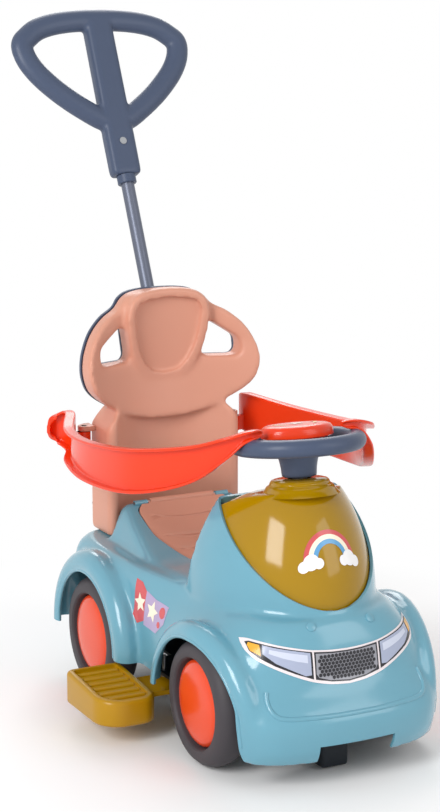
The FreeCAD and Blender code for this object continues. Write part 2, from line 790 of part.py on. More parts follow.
# Floor pan with the rear axle's saddles and the front kingpin brackets.
def floor_pan():
    low, top = S.pan_bottom, PAN_TOP
    half, y = S.ear_half, S.front_axle_y
    solids = [box_between((-S.wing_half, WING_MIDDLE - S.wing_length / 2, low),
                          (S.wing_half, WING_MIDDLE + S.wing_length / 2, top))]
    for sign in SIDES.values():
        ear = S.kingpin_x + S.knuckle_radius + 1
        post = S.kingpin_x - S.knuckle_radius - 3
        for inner, outer, bottom, height in ((0, ear, low, top), (post - 10, post, top, KNUCKLE_TOP),
                                             (post - 10, ear, KNUCKLE_TOP, KNUCKLE_TOP + S.ear_thickness)):
            near, far = sorted((sign * inner, sign * outer))
            solids.append(box_between((near, y - half, bottom), (far, y + half, height)))
        near, far = sorted((sign * (S.saddle_x - S.saddle_width / 2),
                            sign * (S.saddle_x + S.saddle_width / 2)))
        solids.append(box_between((near, S.rear_axle_y - S.saddle_half - S.bush_wall, top),
                                  (far, S.rear_axle_y + S.saddle_half + S.bush_wall,
                                   S.wheel_radius + S.axle_radius + S.bush_wall + 4)))
    pan = box_between((-S.pan_half, -S.pan_front, low), (S.pan_half, S.pan_rear, top)).fuse(solids)
    holes = [Part.makeCylinder(S.screw_radius, LARGE / 8, Vector(x, y, 0)) for x, y in screw_places()]
    for sign in SIDES.values():
        holes.append(Part.makeCylinder(S.kingpin_radius + S.running_gap, LARGE / 8,
                                       Vector(sign * S.kingpin_x, S.front_axle_y, 0)))
    holes.append(across(S.axle_radius + S.bush_wall, S.saddle_x + S.saddle_width,
                        Vector(0, S.rear_axle_y, S.wheel_radius)))
    return pan.cut(holes)


piece("floor_pan", formed("FloorPan", floor_pan()))


def grouped(solids):
    return Part.makeCompound(solids)


def axle_bushes():
    rings = []
    for sign in SIDES.values():
        start = Vector(sign * (S.saddle_x - S.saddle_width / 2), S.rear_axle_y, S.wheel_radius)
        end = Vector(sign * (S.saddle_x + S.saddle_width / 2), S.rear_axle_y, S.wheel_radius)
        rings.append(bar(S.axle_radius + S.bush_wall, start, end).cut(bar(S.axle_radius, start, end)))
    return grouped(rings)


def screw(head_at, direction, length):
    """Pan-head screw: the head lies outside the point, the shank runs along the direction."""
    return bar(S.screw_radius, head_at, head_at + direction * length).fuse(
        bar(S.screw_head_radius, head_at - direction * S.screw_head, head_at))


def pan_screws():
    return grouped([screw(Vector(x, y, S.pan_bottom), Vector(0, 0, 1), S.pan_thickness + S.screw_length - 2)
                    for x, y in screw_places()])


piece("rear_axle_bushes", formed("RearAxleBushes", axle_bushes()))
piece("floor_pan_screws", formed("FloorPanScrews", pan_screws()))
piece("front_foot", block("FrontFoot", ("-foot_half", "foot_front", "foot_bottom"),
                          ("foot_half", "foot_front + foot_length", "pan_bottom")))


# Seat lid over its storage bin.
def seat_lid():
    slab = seat_plan(0, COWL_FOOT - 40).common(seat_roll(S.seat_thickness)).cut(seat_roll(0))
    behind = half_space(LID_HINGE, (0, 1, 0))
    barrel = across(S.lid_barrel_radius, S.lid_barrel_half, LID_HINGE)
    lug_rooms = []
    for sign in SIDES.values():
        near, far = sorted((sign * (LUG_INNER - 1), sign * LARGE / 8))
        lug_rooms.append(box_between((near, LID_HINGE.y - LUG_REACH - 1.5, 0), (far, LARGE / 8, LARGE / 2)))
    slab = slab.cut([behind] + lug_rooms)
    return slab.fuse(barrel).cut(across(S.lid_pin_radius + S.running_gap, LUG_OUTER, LID_HINGE))


def storage_bin():
    outside = seat_plan(-S.bin_margin, S.bin_bottom)
    inside = seat_plan(-S.bin_margin - S.bin_wall, S.bin_bottom + S.bin_wall)
    return outside.cut(inside).cut(seat_roll(S.seat_thickness + S.contact_gap))


piece("seat_lid", formed("SeatLid", seat_lid()))
piece("seat_lid_pin", formed("SeatLidPin", across(S.lid_pin_radius, LUG_OUTER, LID_HINGE)))
piece("storage_bin", formed("StorageBin", storage_bin()))


# Backrest: a bucket-shaped lower column under a curved head shell with two ear grips and a raised pad.
HEAD_BACK = S.back_rear_y
HEAD_FRONT = HEAD_BACK - S.head_depth
BOWL_RADIUS = (S.ear_half_width ** 2 + S.ear_sweep ** 2) / (2 * S.ear_sweep)
BOWL_AXIS = Vector(0, HEAD_FRONT - BOWL_RADIUS, 0)


def bowl(inner, outer):
    """Upright round shell behind the child's back, between two depths behind its front face."""
    solids = [Part.makeCylinder(BOWL_RADIUS + depth, LARGE, BOWL_AXIS) for depth in (inner, outer)]
    return solids[1].cut(solids[0]).cut(half_space((0, 0, 0), (0, -1, 0)))


def column_prism(shrink, low, high):
    """Bucket column: square behind, hollowed by an arc in front."""
    half, rear = S.back_half - shrink, HEAD_BACK
    wing = half - S.wing_edge + 2 * shrink
    front, dip = S.back_front_y + shrink, S.back_front_y + S.back_bowl_depth + shrink
    arc = Part.Arc(Vector(wing, front, low), Vector(0, dip, low), Vector(-wing, front, low)).toShape()
    plan = ((-wing, front), (-half, front), (-half, rear), (half, rear), (half, front), (wing, front))
    spots = [Vector(x, y, low) for x, y in plan]
    lines = [Part.LineSegment(a, b).toShape() for a, b in zip(spots, spots[1:])]
    return Part.Face(Part.Wire([arc] + lines)).extrude(Vector(0, 0, high - low))


def head_prism():
    """Front outline of the ears and headrest above the column, through the whole depth."""
    ear, head, waist = S.ear_half_width, S.head_half, S.back_waist_z
    half = [(0, waist - 34), (50, waist - 27), (S.back_half - 7, waist - 4), (ear - 8, S.ear_z - 40),
            (ear, S.ear_z - 12), (ear - 8, S.ear_z + 17), (ear - 29, S.ear_z + 37), (head + 5, S.ear_z + 49),
            (head, S.head_top - 12), (head - 20, S.head_top - 1), (0, S.head_top)]
    rim = half + [(-x, z) for x, z in reversed(half[1:-1])]
    outline = spline_edge([(x, 0, z) for x, z in rim], closed=True)
    return Part.Face(Part.Wire(outline)).extrude(Vector(0, LARGE / 4, 0))


def ear_windows():
    """Openings inside the ear grips."""
    outer = S.ear_half_width - S.ear_bar
    inner, low, high = S.head_half - 8, S.ear_z - 23, S.ear_z + 29
    corners = ((inner, low, 8), (outer + 4, low, 8), (outer + 6, low + 15, 10), (inner + 9, high, 8))
    return [plate([(sign * a, b, r) for a, b, r in corners], flat_xz(0), (0, LARGE / 4, 0))
            for sign in SIDES.values()]


def backrest_screw_places():
    """Places of the cover's screws: two in the column's bosses and two high in the headrest."""
    low, high = S.body_top + 32, S.head_top - 21
    spots = ((S.back_half - S.back_wall - 4, low), (24, high))
    return [(sign * x, z) for x, z in spots for sign in SIDES.values()]


def backrest():
    top = S.back_waist_z
    inside = column_prism(S.back_wall, S.body_top + S.back_wall, top - S.back_wall)
    column = column_prism(0, S.body_top, top).cut(inside)
    head = bowl(0, S.head_depth).common(head_prism()).cut(ear_windows())
    well = plate(both_sides([(S.head_half - 24, top + 8, 8), (S.head_half - 20, S.head_top - 40, 12)]),
                 flat_xz(0), (0, LARGE / 4, 0)).common(bowl(S.back_wall, 2 * S.head_depth))
    low_well = column_prism(S.back_wall, top - 60, top - S.back_wall)
    low_well = low_well.common(bowl(S.back_wall, 4 * S.head_depth))
    shield = plate(both_sides([(S.head_half - 38, S.ear_z - 52, 10), (S.head_half - 8, S.ear_z + 40, 16),
                               (S.head_half - 18, S.head_top - 10, 16)]), flat_xz(0), (0, LARGE / 4, 0))
    pad = shield.common(bowl(-S.pad_rise, 1))
    bosses = [bar(6, Vector(x, HEAD_FRONT, z), Vector(x, HEAD_BACK, z))
              for x, z in backrest_screw_places()[:2]]
    holes = [bar(S.screw_radius, Vector(x, HEAD_BACK - S.screw_length + 8, z), Vector(x, HEAD_BACK + 1, z))
             for x, z in backrest_screw_places()]
    return column.fuse(head.cut(well)).cut(low_well).fuse([pad] + bosses).cut(holes)


# Slate cover behind the backrest with the tube guides and the lugs for the safety arms.
LUG_LOW = S.barrel_low - S.side_gap
LUG_HIGH = S.barrel_high + S.side_gap
COVER_BACK = HEAD_BACK + S.cover_thickness
SCREW_FACE = COVER_BACK - 2


def tube_guide(low, high):
    half = S.tube_radius + S.sleeve_wall
    return box_between((-half, HEAD_BACK, low), (half, S.tube_y + half, high))


def backrest_rear_cover():
    depth = S.head_depth
    panel = bowl(depth, depth + S.cover_thickness).common(head_prism()).cut(ear_windows())
    panel = panel.cut(column_prism(0, S.body_top, S.back_waist_z))
    skirt = box_between((-S.back_half, HEAD_BACK, S.body_top), (S.back_half, COVER_BACK, S.back_waist_z))
    lower, upper = S.body_top + 60, S.ear_z - 16
    guides = [tube_guide(z, z + S.guide_height) for z in (lower, upper)]
    lugs = []
    for sign in SIDES.values():
        near, far = sorted((sign * (S.back_half - 6), sign * (S.arm_hinge_x - 1)))
        lugs.append(box_between((near, HEAD_BACK, LUG_LOW - S.lug_thickness),
                                (far, COVER_BACK, LUG_HIGH + S.lug_thickness)))
        for low in (LUG_LOW - S.lug_thickness, LUG_HIGH):
            hinge = Vector(sign * S.arm_hinge_x, S.arm_hinge_y, low)
            ring = Part.makeCylinder(S.arm_barrel_radius, S.lug_thickness, hinge)
            near, far = sorted((sign * (S.back_half + S.contact_gap), hinge.x))
            lugs.append(ring.fuse(box_between((near, hinge.y - S.arm_barrel_radius, low),
                                              (far, COVER_BACK, low + S.lug_thickness))))
    holes = [bar(S.screw_radius, Vector(x, 0, z), Vector(x, LARGE / 4, z))
             for x, z in backrest_screw_places()]
    holes += [bar(S.screw_head_radius + 1, Vector(x, SCREW_FACE, z), Vector(x, LARGE / 4, z))
              for x, z in backrest_screw_places()]
    holes.append(Part.makeCylinder(S.tube_radius + S.contact_gap, LARGE, Vector(0, S.tube_y, 0)))
    holes += [Part.makeCylinder(S.arm_pin_radius, LARGE, Vector(sign * S.arm_hinge_x, S.arm_hinge_y, 0))
              for sign in SIDES.values()]
    return panel.fuse([skirt] + guides + lugs).cut(holes)


def backrest_screws():
    return grouped([screw(Vector(x, SCREW_FACE, z), Vector(0, -1, 0), S.screw_length - 10)
                    for x, z in backrest_screw_places()])


piece("backrest", formed("Backrest", backrest()))
piece("backrest_rear_cover", formed("BackrestRearCover", backrest_rear_cover()))
piece("backrest_screws", formed("BackrestScrews", backrest_screws()))


# Push handle: a bent steel tube in a socket at the tail, with a two-window grip.
LEAN = Rotation(Vector(1, 0, 0), -S.tube_lean)
BEND = Vector(0, S.tube_y, S.tube_bend_z)
SOCKET_LOW = S.tube_foot_z - 10


def along_lean(distance):
    """Point on the leaning run, measured from the bend's corner."""
    return BEND + LEAN.multVec(Vector(0, 0, distance))


def tube_path(foot):
    reach = S.tube_bend_radius * math.tan(math.radians(S.tube_lean / 2))
    start, end = BEND - Vector(0, 0, reach), along_lean(reach)
    half_turn = Rotation(Vector(1, 0, 0), -S.tube_lean / 2)
    rise = S.tube_bend_radius / math.cos(math.radians(S.tube_lean / 2)) - S.tube_bend_radius
    middle = BEND + half_turn.multVec(Vector(0, rise, 0))
    top = along_lean(S.grip_start + S.grip_overlap)
    return Part.Wire([Part.LineSegment(foot, start).toShape(), Part.Arc(start, middle, end).toShape(),
                      Part.LineSegment(end, top).toShape()])


def handle_tube():
    foot = Vector(0, S.tube_y, S.tube_foot_z)
    solids = []
    for radius in (S.tube_radius, S.tube_radius - S.tube_wall):
        section = Part.Wire(Part.Circle(foot, Vector(0, 0, 1), radius).toShape())
        solids.append(tube_path(foot).makePipeShell([section], True, False))
    return solids[0].cut(solids[1])


def grip_blank():
    """Grip seen from the front: a straight neck below a smooth rounded triangle."""
    half, length, neck, rise = S.grip_half, S.grip_length, S.grip_spine / 2, S.grip_overlap
    side = [(neck, rise - 5), (neck + 6, rise + 11), (neck + 32, rise + 27), (half - 52, rise + 49),
            (half - 27, length - 106), (half - 10, length - 83), (half - 3, length - 61),
            (half - 4, length - 44), (half - 15, length - 27), (half - 42, length - 11),
            (half - 80, length - 2), (0, length)]
    rim = spline_edge([(x, 0, z) for x, z in side + [(-x, z) for x, z in reversed(side[:-1])]])
    spots = [Vector(-neck, 0, rise - 5), Vector(-neck, 0, 0), Vector(neck, 0, 0), Vector(neck, 0, rise - 5)]
    lines = [Part.LineSegment(a, b).toShape() for a, b in zip(spots, spots[1:])]
    face = Part.Face(Part.Wire([rim] + lines))
    face.translate(Vector(0, -S.grip_thickness / 2, 0))
    return face.extrude(Vector(0, S.grip_thickness, 0))


def grip_window(sign):
    neck, bar_width, length = S.grip_spine / 2, S.grip_bar, S.grip_length
    outer = S.grip_half - bar_width
    corners = ((neck, S.grip_overlap + 46, 5), (neck + 40, S.grip_overlap + 71, 30),
               (outer - 7, length - 58, 12), (outer - 15, length - bar_width - 7, 10),
               (neck, length - bar_width + 1, 6))
    return plate([(sign * a, b, r) for a, b, r in corners], flat_xz(-LARGE / 4), (0, LARGE / 2, 0))


def handle_grip():
    """Grip built upright in its own plane, rounded, then leaned back on the tube."""
    blank = grip_blank().cut([grip_window(sign) for sign in SIDES.values()])
    blank = blank.makeFillet(S.grip_rounding, [edge for edge in blank.Edges if lies_flat(edge)])
    bore = Part.makeCylinder(S.tube_radius, S.grip_overlap)
    screw_hole = bar(S.screw_radius, Vector(0, -LARGE / 4, S.screw_height),
                     Vector(0, -S.tube_radius, S.screw_height))
    head_seat = bar(S.screw_head_radius, Vector(0, -S.grip_thickness, S.screw_height),
                    Vector(0, -S.grip_thickness / 2 + S.screw_head - 1, S.screw_height))
    grip = blank.cut([bore, screw_hole, head_seat])
    grip.Placement = Placement(along_lean(S.grip_start), LEAN)
    return grip


def lies_flat(edge):
    """True for an edge in one of the grip's two flat faces."""
    box = edge.BoundBox
    return box.YLength < 0.01 and abs(abs(box.YMin) - S.grip_thickness / 2) < 0.01


def grip_screw():
    front = -S.grip_thickness / 2 + S.screw_head - 1
    shape = screw(Vector(0, front, S.screw_height), Vector(0, 1, 0), -S.tube_radius - front)
    shape.Placement = Placement(along_lean(S.grip_start), LEAN)
    return shape


def handle_collar():
    ring = Part.makeCylinder(S.tube_radius + 4, S.collar_length, Vector(0, 0, -S.collar_length))
    ring = ring.cut(Part.makeCylinder(S.tube_radius, S.collar_length, Vector(0, 0, -S.collar_length)))
    ring.Placement = Placement(along_lean(S.grip_start), LEAN)
    return ring


def handle_socket():
    """Cup at the body's tail that the tube's foot drops into."""
    half = S.tube_radius + S.sleeve_wall
    cup = box_between((-half, S.tail_reach - 40, SOCKET_LOW),
                      (half, S.tube_y + half, SOCKET_LOW + S.socket_height))
    hole = Part.makeCylinder(S.tube_radius + S.contact_gap, LARGE / 4,
                             Vector(0, S.tube_y, S.tube_foot_z - S.contact_gap))
    return cup.cut(hole).cut(hull(0))


piece("handle_socket", formed("HandleSocket", handle_socket()))
piece("handle_tube", formed("HandleTube", handle_tube()))
piece("handle_collar", formed("HandleCollar", handle_collar()))
piece("handle_grip", formed("HandleGrip", handle_grip()))
piece("grip_screw", formed("GripScrew", grip_screw()))


# Safety arms: channel sections along a plan curve, cut to a rising side profile, with a hinge barrel.
def arm_strip(depth):
    """Plan strip of the left arm, from its inner face outwards by a depth."""
    x, y = S.arm_web_x, S.arm_hinge_y
    rim = S.steer_rim_radius + S.steer_rim_section
    inner = [(x + 4, y + 24), (x + 1, y - 4), (x + 30, y - 70), (x + 41, y - 143), (x + 36, y - 233),
             (x + 16, y - 293), (x - 11, y - 345), (rim + 10, S.steer_y + 6),
             (S.pad_half_width + 34, S.steer_y - 7), (S.pad_half_width + 14, S.steer_y - 9)]
    outer = []
    for index, (a, b) in enumerate(inner):
        before, after = inner[max(index - 1, 0)], inner[min(index + 1, len(inner) - 1)]
        run = Vector(after[0] - before[0], after[1] - before[1], 0).normalize()
        outer.append((a - run.y * depth, b + run.x * depth))
    low = [spline_edge([(a, b, 0) for a, b in line]) for line in (inner, outer)]
    ends = [Part.LineSegment(Vector(*p, 0), Vector(*q, 0)).toShape()
            for p, q in ((inner[0], outer[0]), (inner[-1], outer[-1]))]
    face = Part.Face(Part.Wire(Part.__sortEdges__([low[0], ends[1], low[1], ends[0]])))
    return face.extrude(Vector(0, 0, LARGE))


def arm_profile(low_shift, high_shift):
    """Side profile of the arm between its lower and upper edge, shifted in height."""
    y, low, high = S.arm_hinge_y, S.arm_low_z, S.arm_high_z
    tip = S.steer_z + S.steer_rim_section + S.arm_tip_gap
    stations = ((y + 60, low + 14, high - 6), (y, low, S.arm_rear_high), (y - 70, low, high),
                (y - 143, low - 4, high + 3), (y - 233, low + 2, high + 12), (y - 293, low + 20, high + 24),
                (y - 345, low + 46, high + 37), (S.steer_y + 6, tip - 12, tip + S.arm_tip_height - 7),
                (S.steer_y - 3, tip, tip + S.arm_tip_height - 1),
                (S.steer_y - 40, tip + 1, tip + S.arm_tip_height))
    lower = spline_edge([(0, b, z + low_shift) for b, z, _ in stations])
    upper = spline_edge([(0, b, z + high_shift) for b, _, z in stations])
    first, last = stations[0], stations[-1]
    ends = [Part.LineSegment(Vector(0, b, z + low_shift), Vector(0, b, t + high_shift)).toShape()
            for b, z, t in (first, last)]
    face = Part.Face(Part.Wire(Part.__sortEdges__([lower, ends[1], upper, ends[0]])))
    return face.extrude(Vector(LARGE / 4, 0, 0))


def safety_arm():
    web = arm_strip(S.arm_wall).common(arm_profile(0, 0))
    rims = arm_profile(0, 0).cut(arm_profile(S.arm_wall, -S.arm_wall))
    flanges = arm_strip(S.arm_flange).common(rims)
    hinge = Vector(S.arm_hinge_x, S.arm_hinge_y, S.barrel_low)
    rise = S.barrel_high - S.barrel_low
    barrel = Part.makeCylinder(S.arm_barrel_radius, rise, hinge)
    neck = box_between((hinge.x, hinge.y - 5, S.barrel_low),
                       (S.arm_web_x + S.arm_wall - 1, hinge.y + 5, S.barrel_high))
    bore = Part.makeCylinder(S.arm_pin_radius + S.running_gap, LARGE, Vector(hinge.x, hinge.y, 0))
    return web.fuse([flanges, barrel, neck]).cut(bore)


def arm_pin():
    return Part.makeCylinder(S.arm_pin_radius, LUG_HIGH - LUG_LOW + 2 * S.lug_thickness,
                             Vector(S.arm_hinge_x, S.arm_hinge_y, LUG_LOW - S.lug_thickness))


# Footrests: hollow treads on a tongue that slides in rails below the floor pan.
def footrest():
    inner, outer, low, wall = S.step_inner, S.step_outer, S.step_bottom, S.step_wall
    top = [(S.step_front, low, 0), (S.step_rear, low, 0), (S.step_rear, S.step_rear_top, 6),
           (S.step_front, S.step_front_top, 6)]
    plan = [(inner, S.step_front, 20), (outer, S.step_front, 34), (outer, S.step_rear, 10),
            (inner, S.step_rear, 6)]
    tread = plate(plan, flat_xy(0), (0, 0, LARGE / 8)).common(plate(top, flat_yz(0), (LARGE / 4, 0, 0)))
    hollow_plan = [(inner + wall, S.step_front + wall, 16), (outer - wall, S.step_front + wall, 30),
                   (outer - wall, S.step_rear - wall, 6), (inner + wall, S.step_rear - wall, 3)]
    under = plate([(S.step_front, 0, 0), (S.step_rear, 0, 0), (S.step_rear, S.step_rear_top - wall, 0),
                   (S.step_front, S.step_front_top - wall, 0)], flat_yz(0), (LARGE / 4, 0, 0))
    tread = tread.cut(plate(hollow_plan, flat_xy(0), (0, 0, LARGE / 8)).common(under))
    length = S.step_rear - S.step_front
    for index in range(6):
        y = S.step_front + 26 + index * (length - 44) / 5
        z = S.step_front_top + (S.step_rear_top - S.step_front_top) * (y - S.step_front) / length
        tread = tread.cut(bar(2.5, Vector(inner + 12, y, z + 1), Vector(outer - 12, y, z + 1)))
    tongue = box_between((S.tongue_inner, WING_MIDDLE - S.tongue_half, S.tongue_bottom),
                         (inner + wall, WING_MIDDLE + S.tongue_half, S.tongue_bottom + S.tongue_thickness))
    return tread.fuse(tongue)


def footrest_rails():
    """Two channel rails hung from the floor pan for one footrest's tongue."""
    gap = S.contact_gap
    rails = []
    for edge in (-1, 1):
        near = WING_MIDDLE + edge * (S.tongue_half + gap)
        far = near + edge * S.rail_wall
        lip = near - edge * S.rail_wall
        first, last = sorted((near, far))
        web = box_between((S.rail_inner, first, S.tongue_bottom - gap - S.rail_wall),
                          (S.rail_outer, last, S.pan_bottom))
        first, last = sorted((lip, far))
        foot = box_between((S.rail_inner, first, S.tongue_bottom - gap - S.rail_wall),
                           (S.rail_outer, last, S.tongue_bottom - gap))
        rails.append(web.fuse(foot))
    return grouped(rails)


for side, sign in SIDES.items():
    piece(f"safety_arm_{side}", formed(f"SafetyArm{side}", mirrored(safety_arm(), sign)))
    piece(f"arm_pin_{side}", formed(f"ArmPin{side}", mirrored(arm_pin(), sign)))
    piece(f"footrest_{side}", formed(f"Footrest{side}", mirrored(footrest(), sign)))
    piece(f"footrest_rails_{side}", formed(f"FootrestRails{side}", mirrored(footrest_rails(), sign)))

doc.recompute()
for item in doc.Objects:
    if {"Invalid", "Error"} & set(item.State):
        raise SystemExit(f"{item.Label} did not recompute")
for name, item in PIECES.items():
    if item.Shape.isNull() or not item.Shape.isValid():
        raise SystemExit(f"{name} has no valid shape")

os.makedirs("parts", exist_ok=True)
for name, item in PIECES.items():
    item.Shape.exportStep(f"parts/{name}.step")
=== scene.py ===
# %% [markdown]
# # A ride-on push car, dressed for the studio
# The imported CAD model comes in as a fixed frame, and none of it is moved. The pieces that show most are
# modelled again in the same place, with the softer shapes that mouldings have, and each rides on the body
# that carries it. The car faces -Y and its left side is +X. Sizes are in millimetres until a mesh is made.

# %% Load the frame
import json
import math

import bmesh
import bpy
from mathutils import Matrix, Vector
from mathutils.bvhtree import BVHTree


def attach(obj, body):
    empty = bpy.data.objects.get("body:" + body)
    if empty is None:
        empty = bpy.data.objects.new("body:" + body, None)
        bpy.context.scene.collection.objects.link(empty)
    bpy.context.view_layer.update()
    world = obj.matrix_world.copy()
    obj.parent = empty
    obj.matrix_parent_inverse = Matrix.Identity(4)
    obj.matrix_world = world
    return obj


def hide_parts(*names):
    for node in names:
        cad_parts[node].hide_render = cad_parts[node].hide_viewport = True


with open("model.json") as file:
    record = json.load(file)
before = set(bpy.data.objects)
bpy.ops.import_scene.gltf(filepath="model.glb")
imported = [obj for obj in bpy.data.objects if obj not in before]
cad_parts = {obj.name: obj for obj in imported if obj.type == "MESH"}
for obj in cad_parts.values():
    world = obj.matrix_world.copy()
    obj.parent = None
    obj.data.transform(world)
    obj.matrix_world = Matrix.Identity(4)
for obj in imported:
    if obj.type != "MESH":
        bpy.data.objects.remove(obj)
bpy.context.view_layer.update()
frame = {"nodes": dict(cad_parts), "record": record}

MM = 0.001
SIDES = {"left": 1, "right": -1}

# %% [markdown]
# Mouldings are drawn here with few points. A Catmull-Rom run passes through every point that it is given,
# so an outline can be typed in as it was measured; a Bezier curve would need handles as well.
# Straight-sided outlines get an arc at each corner instead, as a cut tool leaves them.

# %% Lines and outlines
def smooth_line(points, steps, closed=False):
    """Even run of points through the given ones."""
    dots = [Vector(p) for p in points]
    count = len(dots)
    spans = count if closed else count - 1
    line = []
    for i in range(spans):
        if closed:
            a, b, c, d = (dots[(i + k) % count] for k in (-1, 0, 1, 2))
        else:
            b, c = dots[i], dots[i + 1]
            a = dots[i - 1] if i else b * 2 - c
            d = dots[i + 2] if i + 2 < count else c * 2 - b
        for k in range(steps):
            t = k / steps
            line.append(0.5 * ((2 * b) + (c - a) * t + (2 * a - 5 * b + 4 * c - d) * t * t
                               + (3 * b - a - 3 * c + d) * t ** 3))
    return line if closed else line + [dots[-1]]


def rounded(corners, steps=6):
    """Closed flat outline with an arc at each corner (a, b, radius)."""
    outline = []
    count = len(corners)
    for i, (a, b, radius) in enumerate(corners):
        here = Vector((a, b))
        back = (Vector(corners[i - 1][:2]) - here).normalized()
        on = (Vector(corners[(i + 1) % count][:2]) - here).normalized()
        if radius <= 0:
            outline.append(here)
            continue
        half = back.angle(on) / 2
        centre = here + (back + on).normalized() * (radius / math.sin(half))
        start = here + back * (radius / math.tan(half)) - centre
        turn = math.pi - 2 * half
        sense = 1 if start.cross(-back) > 0 else -1
        for k in range(steps + 1):
            angle = sense * turn * k / steps
            outline.append(centre + Matrix.Rotation(angle, 2) @ start)
    return outline


def round_angles(count):
    """Even angles of one full turn."""
    return [2 * math.pi * n / count for n in range(count)]


print("points in a corner's arc", len(rounded([(0, 0, 1), (3, 0, 0), (0, 3, 0)])) - 2)

# %% [markdown]
# A loft turns outlines into a skin. Each outline becomes a ring of edges, and bridging the rings one after
# the other makes the faces between them. The faces could be listed by hand, but the operator keeps them in
# order and works for any outline. A prism is the shortest loft: the same outline at two depths.

# %% Rings and lofts
def ring(bm, points):
    """Closed loop of edges through points in millimetres."""
    verts = [bm.verts.new(Vector(p) * MM) for p in points]
    return [bm.edges.new(pair) for pair in zip(verts, verts[1:] + verts[:1])]


def loft(rings, closed=False):
    """Skin over rings of equal count, capped at both ends or joined end to end."""
    bm = bmesh.new()
    loops = [ring(bm, points) for points in rings]
    pairs = list(zip(loops, loops[1:]))
    if closed:
        pairs.append((loops[-1], loops[0]))
    for low, high in pairs:
        bmesh.ops.bridge_loops(bm, edges=low + high)
    if not closed:
        for end in (loops[0], loops[-1]):
            bmesh.ops.contextual_create(bm, geom=end)
    bmesh.ops.recalc_face_normals(bm, faces=bm.faces[:])
    return bm


def on_floor(a, b, z):
    return (a, b, z)


def facing(a, b, y):
    return (a, y, b)


def sideways(a, b, x):
    return (x, a, b)


def prism(outline, low, high, lift):
    """Solid over a flat outline; lift places an outline point at one end of the prism."""
    return loft([[lift(p[0], p[1], end) for p in outline] for end in (low, high)])


sample = prism([(0, 0), (1, 0), (0, 1)], 0, 1, on_floor)
print("faces of a three-sided prism", len(sample.faces))
sample.free()

# %% [markdown]
# The rest of the car is made from a few plain shapes: boxes, cylinders, round bars and turned pieces. A
# turned piece is a half section spun about its axis, which is how wheels and caps are drawn on paper too.
# Each shape is made where it is needed by a matrix, so no object has to be moved later.

# %% Plain shapes
ACROSS = Matrix.Rotation(math.pi / 2, 4, "Y")


def moved(x, y, z):
    return Matrix.Translation(Vector((x, y, z)) * MM)


def shifted(bm, matrix):
    """The shape under a matrix, turned right side out again if the matrix mirrors it."""
    bmesh.ops.transform(bm, matrix=matrix, verts=bm.verts[:])
    if matrix.determinant() < 0:
        bmesh.ops.reverse_faces(bm, faces=bm.faces[:])
    return bm


def box(low, high):
    bm = bmesh.new()
    size = [b - a for a, b in zip(low, high)]
    middle = [(a + b) / 2 for a, b in zip(low, high)]
    bmesh.ops.create_cube(bm, size=MM, matrix=moved(*middle) @ Matrix.Diagonal((*size, 1)))
    return bm


def cylinder(radius, depth, matrix, segments=96):
    bm = bmesh.new()
    bmesh.ops.create_cone(bm, cap_ends=True, segments=segments, radius1=radius * MM, radius2=radius * MM,
                          depth=depth * MM, matrix=matrix)
    return bm


def tube(points, radius, segments=24):
    """Round bar along a line of points."""
    dots = [Vector(p) for p in points]
    rings = []
    for i, here in enumerate(dots):
        run = (dots[min(i + 1, len(dots) - 1)] - dots[max(i - 1, 0)]).normalized()
        turn = run.to_track_quat("Z", "Y")
        rings.append([here + turn @ Vector((radius * math.cos(k), radius * math.sin(k), 0))
                      for k in round_angles(segments)])
    return loft(rings)


def turned(profile, steps=96):
    """Full spin of a profile of (radius, height) about the Z axis."""
    bm = bmesh.new()
    verts = [bm.verts.new((r * MM, 0, z * MM)) for r, z in profile]
    edges = [bm.edges.new(pair) for pair in zip(verts, verts[1:])]
    bmesh.ops.spin(bm, geom=verts + edges, cent=(0, 0, 0), axis=(0, 0, 1), angle=2 * math.pi, steps=steps,
                   use_merge=True)
    bmesh.ops.remove_doubles(bm, verts=bm.verts[:], dist=1e-6)
    bmesh.ops.recalc_face_normals(bm, faces=bm.faces[:])
    return bm


sample = tube([(0, 0, 0), (0, 0, 10)], 2)
print("faces of a round bar", len(sample.faces))
sample.free()

# %% [markdown]
# A bmesh is only a shape. To carry a modifier it goes into the mesh of an object, and the modifier's result
# is then made that mesh. Modifiers could stay live to the end, but many pieces go on to be cut, joined or
# measured, and for that their final faces have to be there.

# %% Objects from shapes
def as_object(name, bm):
    mesh = bpy.data.meshes.new(name)
    bm.to_mesh(mesh)
    bm.free()
    obj = bpy.data.objects.new(name, mesh)
    bpy.context.scene.collection.objects.link(obj)
    return obj


def taken(obj):
    """Shape of a scratch object, which is then removed."""
    bm = bmesh.new()
    bm.from_mesh(obj.data)
    bpy.data.objects.remove(obj)
    return bm


def settle(obj):
    """Make the modifiers' result the object's own mesh."""
    graph = bpy.context.evaluated_depsgraph_get()
    mesh = bpy.data.meshes.new_from_object(obj.evaluated_get(graph))
    old = obj.data
    obj.modifiers.clear()
    obj.data = mesh
    bpy.data.meshes.remove(old)
    return obj


def joined(name, shapes):
    """One object from several closed shapes that may pass through each other."""
    bm = bmesh.new()
    for shape in shapes:
        mesh = bpy.data.meshes.new("joining")
        shape.to_mesh(mesh)
        shape.free()
        bm.from_mesh(mesh)
        bpy.data.meshes.remove(mesh)
    return as_object(name, bm)


# %% [markdown]
# Moulded plastic has no sharp joins. Plain solids are joined, turned into one skin by a voxel remesh and
# relaxed, which leaves the soft hollows that a mould has. A bevel alone could not do that, because there is
# no edge where two solids only pass through each other. Crisp openings are carved afterwards. The faces
# that a carving tool leaves can be marked with the second material slot, so that they can be taken out to
# leave an open skin.

# %% Softening and carving
def soften(obj, voxel, rounds):
    """One closed skin of even faces, relaxed so that its joins and edges turn soft."""
    skin = obj.modifiers.new("skin", "REMESH")
    skin.mode = "VOXEL"
    skin.voxel_size = voxel * MM
    relax = obj.modifiers.new("relax", "SMOOTH")
    relax.factor = 0.5
    relax.iterations = rounds
    return settle(obj)


